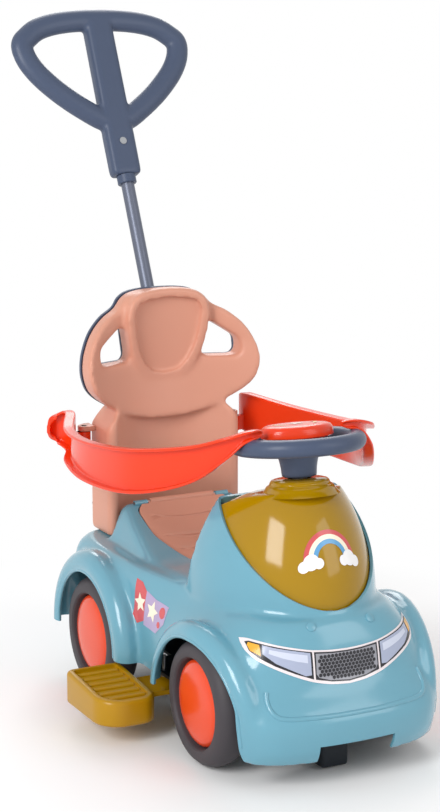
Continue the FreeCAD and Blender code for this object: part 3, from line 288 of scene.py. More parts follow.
def carve(obj, shape, operation="DIFFERENCE", marked=False):
    """Cut a shape out of an object, or keep only what they share."""
    tool = as_object("tool", shape)
    for face in tool.data.polygons:
        face.material_index = 1 if marked else 0
    while len(obj.data.materials) < 2:
        obj.data.materials.append(None)
    cutter = obj.modifiers.new("cut", "BOOLEAN")
    cutter.operation = operation
    cutter.object = tool
    cutter.solver = "EXACT"
    settle(obj)
    bpy.data.objects.remove(tool)
    return obj


def open_marked(obj):
    """Take out the faces that marked tools left."""
    bm = bmesh.new()
    bm.from_mesh(obj.data)
    bmesh.ops.delete(bm, geom=[f for f in bm.faces if f.material_index == 1], context="FACES")
    bm.to_mesh(obj.data)
    bm.free()


def bevelled(obj, width, segments=3, angle=35):
    edge = obj.modifiers.new("edge", "BEVEL")
    edge.width = width * MM
    edge.segments = segments
    edge.limit_method = "ANGLE"
    edge.angle_limit = math.radians(angle)
    return settle(obj)


sample = taken(bevelled(as_object("sample", box((0, 0, 0), (10, 10, 10))), 1))
print("faces of a bevelled block", len(sample.faces))
sample.free()

# %% [markdown]
# Apart from the steel pieces, the whole car is moulded plastic. One flat colour would look like paint, and
# a photo of plastic would bring a picture into the file. So one procedural finish serves all: a faint grain
# as a bump, a slow drift of the tone and a slow drift of the gloss. The patterns read Object coordinates,
# which hold still because every piece sits at the origin.

# %% Plastic
def tone(red, green, blue):
    """Linear colour from the 0 to 255 values read on a screen."""
    def one(v):
        v /= 255
        return v / 12.92 if v <= 0.04045 else ((v + 0.055) / 1.055) ** 2.4
    return (one(red), one(green), one(blue), 1)


def plastic(name, colour, roughness, coat=0.0, grain=0.02, drift=0.02, metallic=0.0, grain_size=500):
    """Moulded plastic with a fine grain and slow drifts of tone and gloss."""
    finish = bpy.data.materials.new(name)
    finish.use_nodes = True
    nodes, links = finish.node_tree.nodes, finish.node_tree.links
    shader = nodes["Principled BSDF"]
    shader.inputs["Metallic"].default_value = metallic
    shader.inputs["Specular IOR Level"].default_value = 0.3
    shader.inputs["Coat Weight"].default_value = coat
    shader.inputs["Coat Roughness"].default_value = 0.12
    place = nodes.new("ShaderNodeTexCoord")
    slow = nodes.new("ShaderNodeTexNoise")
    slow.inputs["Scale"].default_value = 14
    slow.inputs["Detail"].default_value = 3
    links.new(place.outputs["Object"], slow.inputs["Vector"])
    blend = nodes.new("ShaderNodeMix")
    blend.data_type = "RGBA"
    blend.inputs["A"].default_value = tuple(c * (1 - drift) for c in tone(*colour)[:3]) + (1,)
    blend.inputs["B"].default_value = tuple(min(c * (1 + drift), 1) for c in tone(*colour)[:3]) + (1,)
    links.new(slow.outputs["Fac"], blend.inputs["Factor"])
    links.new(blend.outputs["Result"], shader.inputs["Base Color"])
    gloss = nodes.new("ShaderNodeMapRange")
    gloss.inputs["To Min"].default_value = roughness * 0.92
    gloss.inputs["To Max"].default_value = roughness * 1.08
    links.new(slow.outputs["Fac"], gloss.inputs["Value"])
    links.new(gloss.outputs["Result"], shader.inputs["Roughness"])
    fine = nodes.new("ShaderNodeTexNoise")
    fine.inputs["Scale"].default_value = grain_size
    fine.inputs["Detail"].default_value = 2
    links.new(place.outputs["Object"], fine.inputs["Vector"])
    bump = nodes.new("ShaderNodeBump")
    bump.inputs["Strength"].default_value = grain
    bump.inputs["Distance"].default_value = 0.0005
    links.new(fine.outputs["Fac"], bump.inputs["Height"])
    links.new(bump.outputs["Normal"], shader.inputs["Normal"])
    return finish


print("tone of a middle grey", [round(c, 3) for c in tone(128, 128, 128)])

# %% [markdown]
# The colours are named as the car's record names its material slots. Glossy pieces, such as the body and
# the dome, carry a clear coat; the seat, the slate pieces and the wheels are duller. The CAD pieces that
# stay in sight, such as screws, axles and the floor pan, take the same finishes.

# %% Finishes of the car
BLUE = plastic("body_blue", (104, 160, 179), 0.2, coat=0.5)
OCHRE = plastic("dome_ochre", (164, 125, 0), 0.1, coat=0.2)
STEP = plastic("step_ochre", (176, 131, 2), 0.3, coat=0.1)
PINK = plastic("seat_pink", (213, 152, 129), 0.36, grain=0.03)
SLATE = plastic("slate", (70, 81, 104), 0.38, grain=0.03)
ORANGE = plastic("arm_orange", (232, 58, 16), 0.24, coat=0.2)
CAP = plastic("cap_orange", (226, 68, 24), 0.2, coat=0.25)
TYRE = plastic("tyre_dark", (66, 62, 66), 0.55, grain=0.05)
DARK = plastic("dark_plastic", (27, 33, 40), 0.5, grain=0.05)
BUSH = plastic("bush_plastic", (120, 122, 124), 0.5)
STEEL = plastic("steel", (150, 152, 155), 0.3, metallic=1.0, drift=0.03)
TUBE = plastic("tube_grey", (100, 105, 120), 0.36, metallic=0.4, drift=0.03)
FINISHES = {"body_blue": BLUE, "dome_ochre": OCHRE, "step_ochre": STEP, "seat_pink": PINK, "slate": SLATE,
            "arm_orange": ORANGE, "cap_orange": CAP, "tyre_dark": TYRE, "dark_plastic": DARK,
            "bush_plastic": BUSH, "steel": STEEL, "tube_grey": TUBE}
for part in frame["record"]["subparts"]:
    mesh = frame["nodes"][part["node"]].data
    mesh.materials.clear()
    mesh.materials.append(FINISHES[part["material_slot"]])
print("finishes", len(FINISHES))


def dress(obj, finish, body, replaced=(), sharp=40):
    """Give a piece its finish and shading, and let it ride on a body in place of CAD nodes."""
    obj.data.materials.clear()
    obj.data.materials.append(finish)
    for face in obj.data.polygons:
        face.material_index = 0
    obj.data.shade_smooth()
    obj.data.set_sharp_from_angle(angle=math.radians(sharp))
    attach(obj, body)
    if replaced:
        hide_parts(*replaced)
    # Blender numbers a finish whose name the frame already uses.
    print(obj.name, len(obj.data.polygons), "faces on", body)
    return obj


# %% [markdown]
# The body is one hollow moulding, and its lower part is a hull like a boat's. It could be sculpted from a
# block, but a loft through plan outlines keeps it measured: at every height the outline is blended from
# that of the skirt and that of the deck. The nose, the sides and the rear draw in at their own pace, so
# each has its own column of shares.

# %% Hull
NOSE, TAIL = -372.5, 175
FRONT_AXLE, REAR_AXLE = -232, 64
BODY_TOP, BUMPER_LOW, SKIRT = 190, 32, 72
# Each level is a share of the height and how far the sides, the nose and the rear have gone towards the deck.
HULL_LEVELS = ((0.0, 0.10, 0.16, 0.08), (0.13, 0.02, 0.0, 0.0), (0.33, 0.0, 0.02, 0.0), (0.54, 0.1, 0.5, 0.0),
               (0.74, 0.36, 0.64, 0.05), (0.86, 0.64, 0.74, 0.15), (0.95, 0.88, 0.87, 0.45),
               (1.0, 1.06, 1.0, 1.0))
# Each station, from nose to tail, is x and y on the skirt, x and y on the deck, and whether it is in front.
HULL_STATIONS = (
    (0, NOSE, 0, NOSE + 48, True),
    (65, NOSE + 5, 43, NOSE + 53, True),
    (111, NOSE + 20, 73, NOSE + 69, True),
    (138, FRONT_AXLE - 84, 89, NOSE + 92, True),
    (155, FRONT_AXLE - 46, 97, NOSE + 118, True),
    (154, FRONT_AXLE, 101, FRONT_AXLE + 10, True),
    (140, FRONT_AXLE + 67, 103, FRONT_AXLE + 67, True),
    (132, FRONT_AXLE + 122, 109, FRONT_AXLE + 122, True),
    (130, REAR_AXLE - 104, 116, REAR_AXLE - 104, False),
    (134, REAR_AXLE - 58, 122, REAR_AXLE - 56, False),
    (138, REAR_AXLE, 124, REAR_AXLE, False),
    (138, REAR_AXLE + 52, 122, REAR_AXLE + 48, False),
    (132, TAIL - 22, 112, TAIL - 27, False),
    (94, TAIL - 4, 84, TAIL - 8, False),
    (0, TAIL, 0, TAIL - 4, False))


def hull_ring(z, sides, nose, rear):
    """Closed plan outline at one height, blended from the skirt's outline to the deck's."""
    left = []
    for x, y, deck_x, deck_y, is_front in HULL_STATIONS:
        along, spread = (nose, sides) if is_front else (rear, rear)
        left.append((x + (deck_x - x) * spread, y + (deck_y - y) * along, z))
    return smooth_line(left + [(-x, y, z) for x, y, z in reversed(left[1:-1])], 4, closed=True)


rise = BODY_TOP - BUMPER_LOW
levels = smooth_line([(BUMPER_LOW + share * rise, sides, nose) for share, sides, nose, _ in HULL_LEVELS], 4)
rears = smooth_line([(share, rear) for share, _, _, rear in HULL_LEVELS], 4)
hull = loft([hull_ring(*level, tail.y) for level, tail in zip(levels, rears)])
print("hull", len(hull.faces), "faces")

# %% [markdown]
# Behind the cowl the deck rises into a mound that carries the seat. The seat's top is part of a large roll
# that lies across the car, so its height at any place is a formula, and the mound's crest follows it
# closely. The mound is a loft of drafted blocks with round shoulders, because a mould needs draft to let
# the piece go.

# %% Seat mound
SEAT_FRONT, SEAT_REAR, SEAT_DISH = Vector((0, -40, 186)), Vector((0, 102, 243)), 8
chord = SEAT_REAR - SEAT_FRONT
SEAT_RADIUS = (chord.length ** 2 / 4 + SEAT_DISH ** 2) / (2 * SEAT_DISH)
SEAT_AXIS = (SEAT_FRONT + chord / 2
             + Vector((0, -chord.z, chord.y)).normalized() * (SEAT_RADIUS - SEAT_DISH))
MOUND_HALF, MOUND_FOOT, MOUND_ROUND, MOUND_TAPER = 105, 150, 16, 12
MOUND_DRAFT = math.tan(math.radians(15))


def dish(y):
    """Height of the seat's surface at a place along the car."""
    return SEAT_AXIS.z - math.sqrt(SEAT_RADIUS ** 2 - (y - SEAT_AXIS.y) ** 2)


def mound_ring(y, top):
    """Section of the seat mound at one station; it is narrower to the rear."""
    taper = MOUND_TAPER * min(1, max(0, (y + 20) / 110))
    wide = MOUND_HALF + (BODY_TOP - MOUND_FOOT) * MOUND_DRAFT
    narrow = MOUND_HALF - (top - BODY_TOP) * MOUND_DRAFT - taper
    block = [(wide, MOUND_FOOT, 0), (narrow, top, MOUND_ROUND), (-narrow, top, MOUND_ROUND),
             (-wide, MOUND_FOOT, 0)]
    return [(a, y, b) for a, b in rounded(block)]


crest = [(-145, 197), (-80, 194), (-50, 192)]
crest += [(y, dish(y) + proud) for y, proud in ((-25, 5), (10, 4), (50, 1.5), (80, -1.5))]
crest += [(98, 236.5), (110, 234)]
mound = loft([mound_ring(p.x, p.y) for p in smooth_line(crest, 5)])
print("seat roll", round(SEAT_RADIUS, 1), "mm, mound", len(mound.faces), "faces")

# %% [markdown]
# In front of the seat stands the cowl, with the dome let into it. Both are parts of one egg, so one
# function makes the egg and cuts it flat below and along the leaning dash. Bisecting keeps the cut exact,
# and the open side is closed again with one face.

# %% Cowl
DOME, DOME_SIZE = Vector((0, -170, BODY_TOP)), Vector((109, 150, 177))
DASH_Y, DASH_LEAN = -131, math.radians(18)


def egg(scale, above):
    """Egg of the cowl and dome, cut at a height and along the leaning dash."""
    bm = bmesh.new()
    bmesh.ops.create_uvsphere(bm, u_segments=128, v_segments=96, radius=1)
    shifted(bm, moved(*DOME) @ Matrix.Diagonal((*(DOME_SIZE * scale * MM), 1)))
    dash = ((0, DASH_Y, BODY_TOP), (0, math.cos(DASH_LEAN), math.sin(DASH_LEAN)))
    for point, normal in (((0, 0, above), (0, 0, -1)), dash):
        cut = bmesh.ops.bisect_plane(bm, geom=bm.verts[:] + bm.edges[:] + bm.faces[:],
                                     plane_co=Vector(point) * MM, plane_no=normal, clear_outer=True)
        edges = [e for e in cut["geom_cut"] if isinstance(e, bmesh.types.BMEdge)]
        bmesh.ops.contextual_create(bm, geom=edges)
    bmesh.ops.recalc_face_normals(bm, faces=bm.faces[:])
    return bm


cowl = egg(1, 150)
print("cowl", len(cowl.faces), "faces")

# %% [markdown]
# Round bands swell out over the four wheels. They could be pulled out of the hull, but a bar bent round
# each arch is easier to place, and the remesh that follows melts it into the flank. The front bands sink
# away towards the bumper.

# %% Fenders and the joined body
# Each arch is its centre along the car, its height and its radius.
ARCHES = ((FRONT_AXLE + 3, 60, 95), (REAR_AXLE, 73, 88))
FENDER_STEPS, FENDER_START, FENDER_SWEEP, FENDER_SINK = 32, -14, 208, 28


def fender(sign, y, height, radius):
    """Round band over a wheel arch that stands out from the flank and, in front, sinks into the bumper."""
    is_front = y < 0
    bulk, wide, middle = (16, 5, 136) if is_front else (18, 10, 140)
    around = radius + wide
    line = []
    for step in range(FENDER_STEPS + 1):
        share = step / FENDER_STEPS
        angle = math.radians(FENDER_START + FENDER_SWEEP * share)
        sink = FENDER_SINK * max(0, 2 * share - 1) if is_front else 0
        line.append((sign * (middle - sink), y + around * math.cos(angle), height + around * math.sin(angle)))
    return tube(line, bulk)


fenders = [fender(sign, *arch) for sign in SIDES.values() for arch in ARCHES]
body = soften(joined("body_moulding", [hull, mound, cowl] + fenders), 3.6, 6)
print("body outside", len(body.data.polygons), "faces")

# %% [markdown]
# The mould leaves the body open below, the wheels stand in arches, and the dome drops into a leaning rim.
# Each opening is a Boolean cut with a plain shape. The faces that the tool leaves are taken out, so what is
# left is a skin, and a Solidify modifier gives it the wall of a blow moulding. The seat's pocket keeps its
# floor, with a hole in it for the bin.

# %% Body openings
RIM = moved(0, -316, 199.5) @ Matrix.Rotation(math.radians(36.8), 4, "X")
WALL = 3.5
HINGE_Y, HINGE_Z, LUG_Z = 97, 237, 236.5


def both_sides(half):
    return half + [(-a, b, r) for a, b, r in reversed(half) if a > 0]


def seat_outline(grow, ahead=0):
    """Plan of the seat, grown outwards and stretched forwards."""
    return rounded(both_sides([(46 + grow, -40 - grow - ahead, 22), (68 + grow, 32, 60),
                               (68 + grow, 84 + grow, 12), (50 + grow, 102 + grow, 6)]))


def seat_roll(depth):
    """Roll across the car that touches the seat's surface from above, or lies a depth below it."""
    return cylinder(SEAT_RADIUS + depth, 400, moved(*SEAT_AXIS) @ ACROSS, 256)


def seat_block(grow, depth, ahead=0):
    """What the seat's plan and the roll share."""
    block = as_object("seat_block", prism(seat_outline(grow, ahead), 60, 330, on_floor))
    return taken(carve(block, seat_roll(depth), "INTERSECT"))


def arch_outline(y, height, radius):
    """Wheel opening seen from the side: a half circle on straight legs."""
    top = height + radius
    return rounded([(y - radius, 0, 0), (y + radius, 0, 0), (y + radius, top, radius - 0.1),
                    (y - radius, top, radius - 0.1)], 32)


carve(body, shifted(box((-200, -6, 0), (200, 400, 300)), RIM), marked=True)
carve(body, box((-300, -600, 0), (300, 400, BUMPER_LOW + 1)), marked=True)
carve(body, box((-300, FRONT_AXLE, 0), (300, 400, SKIRT)), marked=True)
carve(body, box((-50, -600, 0), (50, FRONT_AXLE + 1, 54)), marked=True)
for sign in SIDES.values():
    for arch in ARCHES:
        carve(body, prism(arch_outline(*arch), sign * 96, sign * 300, sideways), marked=True)
carve(body, seat_block(1.5, 6.3, ahead=7))
carve(body, prism(seat_outline(-14), 100, 330, on_floor), marked=True)
carve(body, box((-50, HINGE_Y - 1, 236), (50, 130, 330)))
open_marked(body)


def skin_of(obj):
    """Search tree of an object's faces, for finding where a line meets them."""
    return BVHTree.FromPolygons([v.co for v in obj.data.vertices], [p.vertices for p in obj.data.polygons])


outside = skin_of(body)
wall = body.modifiers.new("wall", "SOLIDIFY")
wall.thickness = WALL * MM
wall.offset = -1
settle(body)
print("body wall", len(body.data.polygons), "faces")

# %% [markdown]
# Small raised details belong to the same moulding: a rolled lip round each wheel arch, a line across the
# bumper, two buttons on the bonnet and two lugs for the lid's hinge. They could be carved into the hull's
# outline, but they are finer than its faces. So each is a thin bar or a turned button, and all but the lugs
# are placed where a ray meets the body's outside.

# %% Lips, bead, buttons and lugs
CREASE = [(101, 116), (103, 108), (102, 98), (95, 91.5), (80, 89.5), (58, 89), (30, 88.5), (0, 88.5)]
BUTTON = [(0.01, 1.6), (4.6, 1.6), (5.6, 1), (6.4, -3), (0.01, -3)]


def on_outside(point, direction):
    """Where a line from a point meets the body's outside, with the surface normal, in millimetres."""
    spot, normal, _, _ = outside.ray_cast(Vector(point) * MM, Vector(direction).normalized())
    return (spot / MM, normal) if spot else (None, None)


def lip(sign, y, height, radius):
    """Rolled edge of a wheel arch."""
    spots = []
    for step in range(41):
        angle = math.radians(-4 + 188 * step / 40)
        across, up = (radius + 2.5) * math.cos(angle), (radius + 2.5) * math.sin(angle)
        spot, _ = on_outside((sign * 400, y + across, height + up), (-sign, 0, 0))
        if spot:
            spots.append(spot - Vector((sign * 1.2, 0, 0)))
    return tube(spots, 2.6, 12)


def bumper_bead():
    """Raised line across the bumper that turns up at both ends."""
    spots = []
    for p in smooth_line(CREASE + [(-a, b) for a, b in reversed(CREASE[:-1])], 6):
        spot, normal = on_outside((p.x, -600, p.y), (0, 1, 0))
        spots.append(spot - normal * 1.2)
    return tube(spots, 3.2, 16)


def button(sign):
    """Low round button on the bonnet's front slope."""
    spot, normal = on_outside((sign * 39, -600, 184), (0, 1, 0))
    turn = normal.to_track_quat("Z", "Y").to_matrix().to_4x4()
    return shifted(turned(BUTTON, 32), Matrix.Translation(spot * MM) @ turn)


details = [lip(sign, *arch) for sign in SIDES.values() for arch in ARCHES]
details += [bumper_bead()] + [button(sign) for sign in SIDES.values()]
details += [cylinder(4.2, 18, moved(sign * 59.5, HINGE_Y, LUG_Z) @ ACROSS, 32) for sign in SIDES.values()]
body = joined("body_moulding", [taken(body)] + details)
dress(body, BLUE, "car_body", ["body_shell"])

# %% [markdown]
# The bonnet dome is a separate glossy moulding that drops into the cowl. It is a cap of the same egg, a
# little smaller so that a dark seam shows. A turned shape carves its crown, the edge is bevelled, and only
# then is the rim cut, so that the rim stays sharp against the seam. The stepped collar for the steering
# column is turned.

# %% Bonnet dome
STEER = Vector((0, -220, 377))
COLUMN = Matrix.Rotation(-math.radians(7.2), 4, "X")
AXIS = COLUMN.to_3x3() @ Vector((0, 0, 1))
CROWN_Z = 320
CROWN = [(0.01, 1), (36, 1), (46, 0), (62, -2), (80, -7), (105, -18), (130, -36), (160, -70), (220, -140),
         (220, 200), (0.01, 200)]
COLLAR = [(14, -4), (48, -4), (44.5, -0.5), (42, 3), (40.6, 5.6), (38.5, 7), (37, 8), (36, 10), (35.4, 11.6),
          (33.6, 13.4), (30, 14.4), (24, 14.9), (14, 14.9)]

on_crown = moved(*(STEER + AXIS * ((CROWN_Z - STEER.z) / AXIS.z))) @ COLUMN
dome = as_object("bonnet_cap", egg(0.962, 180))
carve(dome, shifted(turned(CROWN, 128), on_crown))
bevelled(dome, 7, 5, 30)
carve(dome, shifted(box((-300, -500, -400), (300, 500, -7)), RIM))
collar = shifted(turned(COLLAR), on_crown)
dome = dress(joined("bonnet_cap", [taken(dome), collar]), OCHRE, "car_body", ["bonnet_dome"])

# %% [markdown]
# The steering wheel is one moulding: a round rim, three stout spokes and a hub that flares like a trumpet
# down to the collar. Rim and hub are turned and the spokes are bars. Remeshing them together gives the soft
# fillets where the spokes run in, which would be slow to bevel by hand. It is made flat and then set on the
# leaning column.

# %% Steering wheel
RIM_MIDDLE, RIM_ROUND, SPOKE_ROUND = 71, 11, 8.5
HUB = [(0.01, -41), (20, -41), (21, -39.5), (21.6, -30), (23.5, -20), (27, -11), (33, -5), (36, -2), (34, 4),
       (31, 6.3), (0.01, 6.3)]
rim = turned([(RIM_MIDDLE + RIM_ROUND * math.cos(a), RIM_ROUND * math.sin(a))
              for a in round_angles(32) + [2 * math.pi]], 128)
spokes = []
for angle in (90, 210, 330):
    out = Vector((math.cos(math.radians(angle)), math.sin(math.radians(angle)), 0))
    sag = [out * r - Vector((0, 0, 2 + 3 * math.sin(math.pi * r / 70))) for r in range(0, 71, 7)]
    spokes.append(tube(sag, SPOKE_ROUND))
wheel = soften(joined("steering_wheel", [rim, turned(HUB)] + spokes), 2.2, 4)
wheel.data.transform(moved(*STEER) @ COLUMN)
dress(wheel, SLATE, "steering", ["steering_wheel"], sharp=60)

# %% [markdown]
# The oval pad in the middle of the wheel is a separate button. It is a loft of ovals that shrink towards
# the top, so that the edge is full and the top nearly flat. A scaled sphere would be too pointed for a
# moulded button.

# %% Steering pad
PAD_HALF = (46, 34)
# Each level is a share of the oval and a height above the wheel's middle.
PAD_LEVELS = ((0.94, 6.4), (1, 8), (1, 13), (0.985, 16.5), (0.94, 19.5), (0.86, 21.2), (0.6, 22), (0.2, 22.3))


def oval(share, z):
    wide, deep = (half * share for half in PAD_HALF)
    return [(wide * math.cos(k), deep * math.sin(k), z) for k in round_angles(64)]


pad = as_object("steering_pad", shifted(loft([oval(s, z) for s, z in PAD_LEVELS]), moved(*STEER) @ COLUMN))
dress(pad, ORANGE, "steering", ["steering_pad"], sharp=50)

# %% [markdown]
# Each wheel is a dark blow moulding with round shoulders, and its hub cap clips over the axle's end and
# stands a little proud. Both are turned from half sections. A torus would be quicker, but its shoulder
# would be wrong, and the recess behind the cap would be missing. All four wheels come from one loop.

# %% Wheels and hub caps
WHEEL_RADIUS = 77
TYRE_SECTION = [(8.2, -42), (13, -42), (13, -22.5), (60, -22.5), (62, -24), (62, -40), (62.5, -41.6),
                (64, -42), (69, -40), (74, -34.5), (76.4, -28), (WHEEL_RADIUS, -21), (76.4, -14), (74, -7.5),
                (69, -2), (63, 0), (56.5, -0.4), (55, -2), (54.4, -4), (53.6, -14), (8.2, -14)]
CAP_SECTION = [(0.01, 0), (12, -0.1), (24, -0.5), (34, -1.3), (42, -2.6), (47, -4.2), (50.5, -6.6),
               (52.4, -9.6), (53, -13), (53, -14), (50, -14), (49, -9), (44, -6.5), (20, -4), (0.01, -3.5)]
for side, sign in SIDES.items():
    for where, face, y in (("front", 145, FRONT_AXLE), ("rear", 151, REAR_AXLE)):
        turn = moved(sign * face, y, WHEEL_RADIUS) @ Matrix.Rotation(sign * math.pi / 2, 4, "Y")
        tyre = as_object(f"{where}_{side}_tyre", shifted(turned(TYRE_SECTION + TYRE_SECTION[:1], 128), turn))
        dress(tyre, TYRE, f"{where}_{side}_roller", [f"{where}_{side}_wheel"])
        cap = as_object(f"{where}_{side}_cap", shifted(turned(CAP_SECTION, 96), turn))
        dress(cap, CAP, f"{where}_{side}_roller", [f"{where}_{side}_hub_cap"])

# %% [markdown]
# The seat is the dished lid of the storage bin. Its block is the seat's plan cut by the same roll that
# shaped the mound, so the two always fit. The grooves across it, and the one inside its border, are cut
# with thin round bars that follow the dish; a bump in the finish would not show at the edge of the lid.

# %% Seat lid
lid = as_object("seat_lid", seat_block(0, 6))
carve(lid, seat_roll(0))
carve(lid, box((-200, HINGE_Y, 100), (200, 200, 400)))
bevelled(lid, 2.6, 4, 40)
for sign in SIDES.values():
    carve(lid, cylinder(5, 24, moved(sign * 61, HINGE_Y, LUG_Z) @ ACROSS, 48))
for y, half in ((67, 50), (30, 50), (0, 44)):
    # Each groove runs out of the surface at its ends and bows forwards in the middle.
    bowed = [(-half, y + 4, 2.4), (-half * 0.6, y - 1, 0.5), (0, y - 3, 0.4), (half * 0.6, y - 1, 0.5),
             (half, y + 4, 2.4)]
    carve(lid, tube(smooth_line([(a, b, dish(b) + lift) for a, b, lift in bowed], 6), 2.6, 16))
print("lid with grooves", len(lid.data.polygons), "faces")


def border_bead(bar=1.4):
    """Closed thin bar that follows the lid's border."""
    inner = rounded(both_sides([(39, -32, 20), (60, 32, 60), (60, 78, 12), (46, 88, 6)]))
    border = smooth_line([(p[0], p[1], dish(p[1]) + 0.6) for p in inner], 2, closed=True)
    rings = []
    for i, here in enumerate(border):
        run = (border[(i + 1) % len(border)] - border[i - 1]).normalized()
        out = Vector((run.y, -run.x, 0)).normalized()
        rings.append([here + out * bar * math.cos(k) + Vector((0, 0, bar * math.sin(k)))
                      for k in round_angles(12)])
    return loft(rings, closed=True)


carve(lid, border_bead())
barrel = cylinder(5, 92, moved(0, HINGE_Y, HINGE_Z) @ ACROSS, 32)
dress(joined("seat_lid", [taken(lid), barrel]), PINK, "lid", ["seat_lid"])

# %% [markdown]
# The backrest's head is a shell that curves forward into two ears, each with a window to hold on to. Seen
# from above it is part of a large ring, so its pieces are upright shells between two depths of that ring.
# Each is trimmed to an outline seen from the front, which is typed in for one half and mirrored, so both
# ears are sure to match.

# %% Shapes of the head
HEAD_REACH, HEAD_DEPTH, HEAD_Y = 124, 42, 150
BOWL_RADIUS = (HEAD_REACH ** 2 + HEAD_DEPTH ** 2) / (2 * HEAD_DEPTH)
BOWL_Y = HEAD_Y - BOWL_RADIUS
HEAD_HALF = [(0, 338), (50, 345), (90, 364), (113, 382), (123, 401), (125, 419), (121, 438), (109, 460),
             (89, 478), (68, 489), (58, 501), (40, 509), (0, 511)]
HOOD_HALF = [(0, 386), (28, 394), (50, 425), (59, 462), (59, 487), (51, 502), (34, 511), (0, 514)]
INSET_HALF = [(0, 400), (24, 407), (41, 436), (48, 474), (47, 488), (36, 498), (0, 502)]


def bowl(front, rear, low=320, high=530, lead=0.0):
    """Upright curved shell between two depths behind the head's front face; its foot can lead or trail."""
    span = [math.radians(a) for a in range(20, 161, 2)]
    rings = []
    for z, ahead in ((low, lead), (high, 0)):
        near = [(math.cos(a), math.sin(a), BOWL_RADIUS + front - ahead) for a in span]
        far = [(math.cos(a), math.sin(a), BOWL_RADIUS + rear - ahead) for a in reversed(span)]
        rings.append([(across * reach, BOWL_Y + along * reach, z) for across, along, reach in near + far])
    return loft(rings)


def mirrored(half):
    """Closed smooth line from its half, listed from the bottom centre to the top centre."""
    return smooth_line(half + [(-x, z) for x, z in reversed(half[1:-1])], 8, closed=True)


def cut_to(shape, half):
    """Shell trimmed to an outline seen from the front."""
    return taken(carve(as_object("trimmed", shape), prism(mirrored(half), 0, 300, facing), "INTERSECT"))


def ear_window(sign, grow=0.0):
    corners = [(52 - grow, 418 - grow, 8), (104 + grow, 418 - grow, 9), (102 + grow, 441 + grow, 11),
               (60 - grow, 470 + grow, 8)]
    return prism(rounded([(sign * a, b, r) for a, b, r in corners]), 0, 300, facing)


print("head's curve", round(BOWL_RADIUS, 1), "mm")

# %% [markdown]
# The backrest is one deep moulding. Its lower column is hollowed like a bucket, and the headrest's shield
# stands proud between the ears. The head is softened first and then gets its windows. Column, head and
# shield are remeshed together, and the shield's face is sunk last, so that its border stays clear.

# %% Backrest
ARC_HALF = [(86, 112), (64, 133), (34, 149.5)]
front_arc = smooth_line(ARC_HALF + [(0, 155)] + [(-a, b) for a, b in reversed(ARC_HALF)], 8)
plan = [(97, 118), (94, 112.5)] + front_arc + [(-94, 112.5), (-97, 118), (-97, 174.5), (97, 174.5)]
column_front = rounded(both_sides([(97.5, 180, 0), (97.5, 336, 20), (70, 366, 12)]))
column = as_object("column", prism(plan, 190, 372, on_floor))
post = taken(carve(column, prism(column_front, 0, 300, facing), "INTERSECT"))
head = joined("head", [cut_to(bowl(0, 24), HEAD_HALF), cut_to(bowl(0, 20, 320, 440, lead=17), HEAD_HALF)])
soften(head, 2.6, 2)
for sign in SIDES.values():
    carve(head, ear_window(sign))
shield = cut_to(bowl(-17, 4, 380, 520, lead=-11), HOOD_HALF)
back = soften(joined("backrest", [post, taken(head), shield]), 2.6, 14)
carve(back, cut_to(bowl(-80, -9, 380, 520, lead=-9), INSET_HALF))
soften(back, 2.2, 4)
dress(back, PINK, "car_body", ["backrest"])

# %% [markdown]
# A slate cover closes the back of the backrest. It follows the head's outline, so it is cut from the same
# ring a little further back, and it carries two guides for the push tube. The pink lugs that hold the arms'
# pins are a piece of their own here, because they have the backrest's colour.

# %% Rear cover and arm lugs
HANDLE_Y = 190
ARM_LUG = [(97.3, 156, 0), (118, 156, 6.9), (118, 170, 6.9), (105, 179, 2), (97.3, 179, 0)]
cover = as_object("rear_cover", cut_to(bowl(24.3, 29), HEAD_HALF))
for sign in SIDES.values():
    carve(cover, ear_window(sign, 1.5))
shapes = [prism(rounded(both_sides([(90, 190, 0), (90, 330, 20), (66, 358, 12)])), 175, 179, facing)]
for low in (250, 420):
    guide = rounded([(-15, 174, 0), (15, 174, 0), (15, 205, 6), (-15, 205, 6)])
    shapes.append(prism(guide, low, low + 30, on_floor))
cover = joined("rear_cover", shapes + [taken(cover)])
carve(cover, cylinder(9.3, 1200, moved(0, HANDLE_Y, 300), 48))
arm_lugs = []
for sign in SIDES.values():
    for low in (298.6, 326.4):
        lug = rounded([(sign * a, b, r) for a, b, r in ARM_LUG])
        arm_lugs.append(prism(lug, low, low + 7, on_floor))
dress(bevelled(cover, 1, 2, 50), SLATE, "car_body", ["backrest_rear_cover"])
dress(bevelled(joined("arm_lugs", arm_lugs), 1, 2, 50), PINK, "car_body")

# %% [markdown]
# The push handle's tube is bent from one length of steel: straight up through the guides, one bend, and a
# straight lean back. A bar along a line of points gives that, with an arc of points at the bend. A curve
# object with a round bevel would do as well, but it would have to be made a mesh later.

# %% Push tube
LEAN, BEND_RADIUS, BEND_TOP = math.radians(25), 90, 490
LEANING = moved(0, HANDLE_Y, BEND_TOP) @ Matrix.Rotation(-LEAN, 4, "X")


def along_lean(distance):
    return LEANING @ (Vector((0, 0, distance)) * MM) / MM


bend_low = BEND_TOP - BEND_RADIUS * math.tan(LEAN / 2)
bend = [Vector((0, HANDLE_Y + BEND_RADIUS - BEND_RADIUS * math.cos(a), bend_low + BEND_RADIUS * math.sin(a)))
        for a in (LEAN * k / 12 for k in range(13))]
straight = [Vector((0, HANDLE_Y, 115)), Vector((0, HANDLE_Y, 300))]
tube_line = straight + bend + [along_lean(120), along_lean(238)]
dress(as_object("push_tube", tube(tube_line, 9, 48)), TUBE, "push_handle", ["handle_tube"])

# %% [markdown]
# The grip is a moulded triangle with a spine and two windows. It is made upright, as an oval bar bent to a
# closed line and a flat spine, and remeshed, so that the two run into each other softly. Then it is leaned
# back with the tube. A small turned collar closes the joint below it.

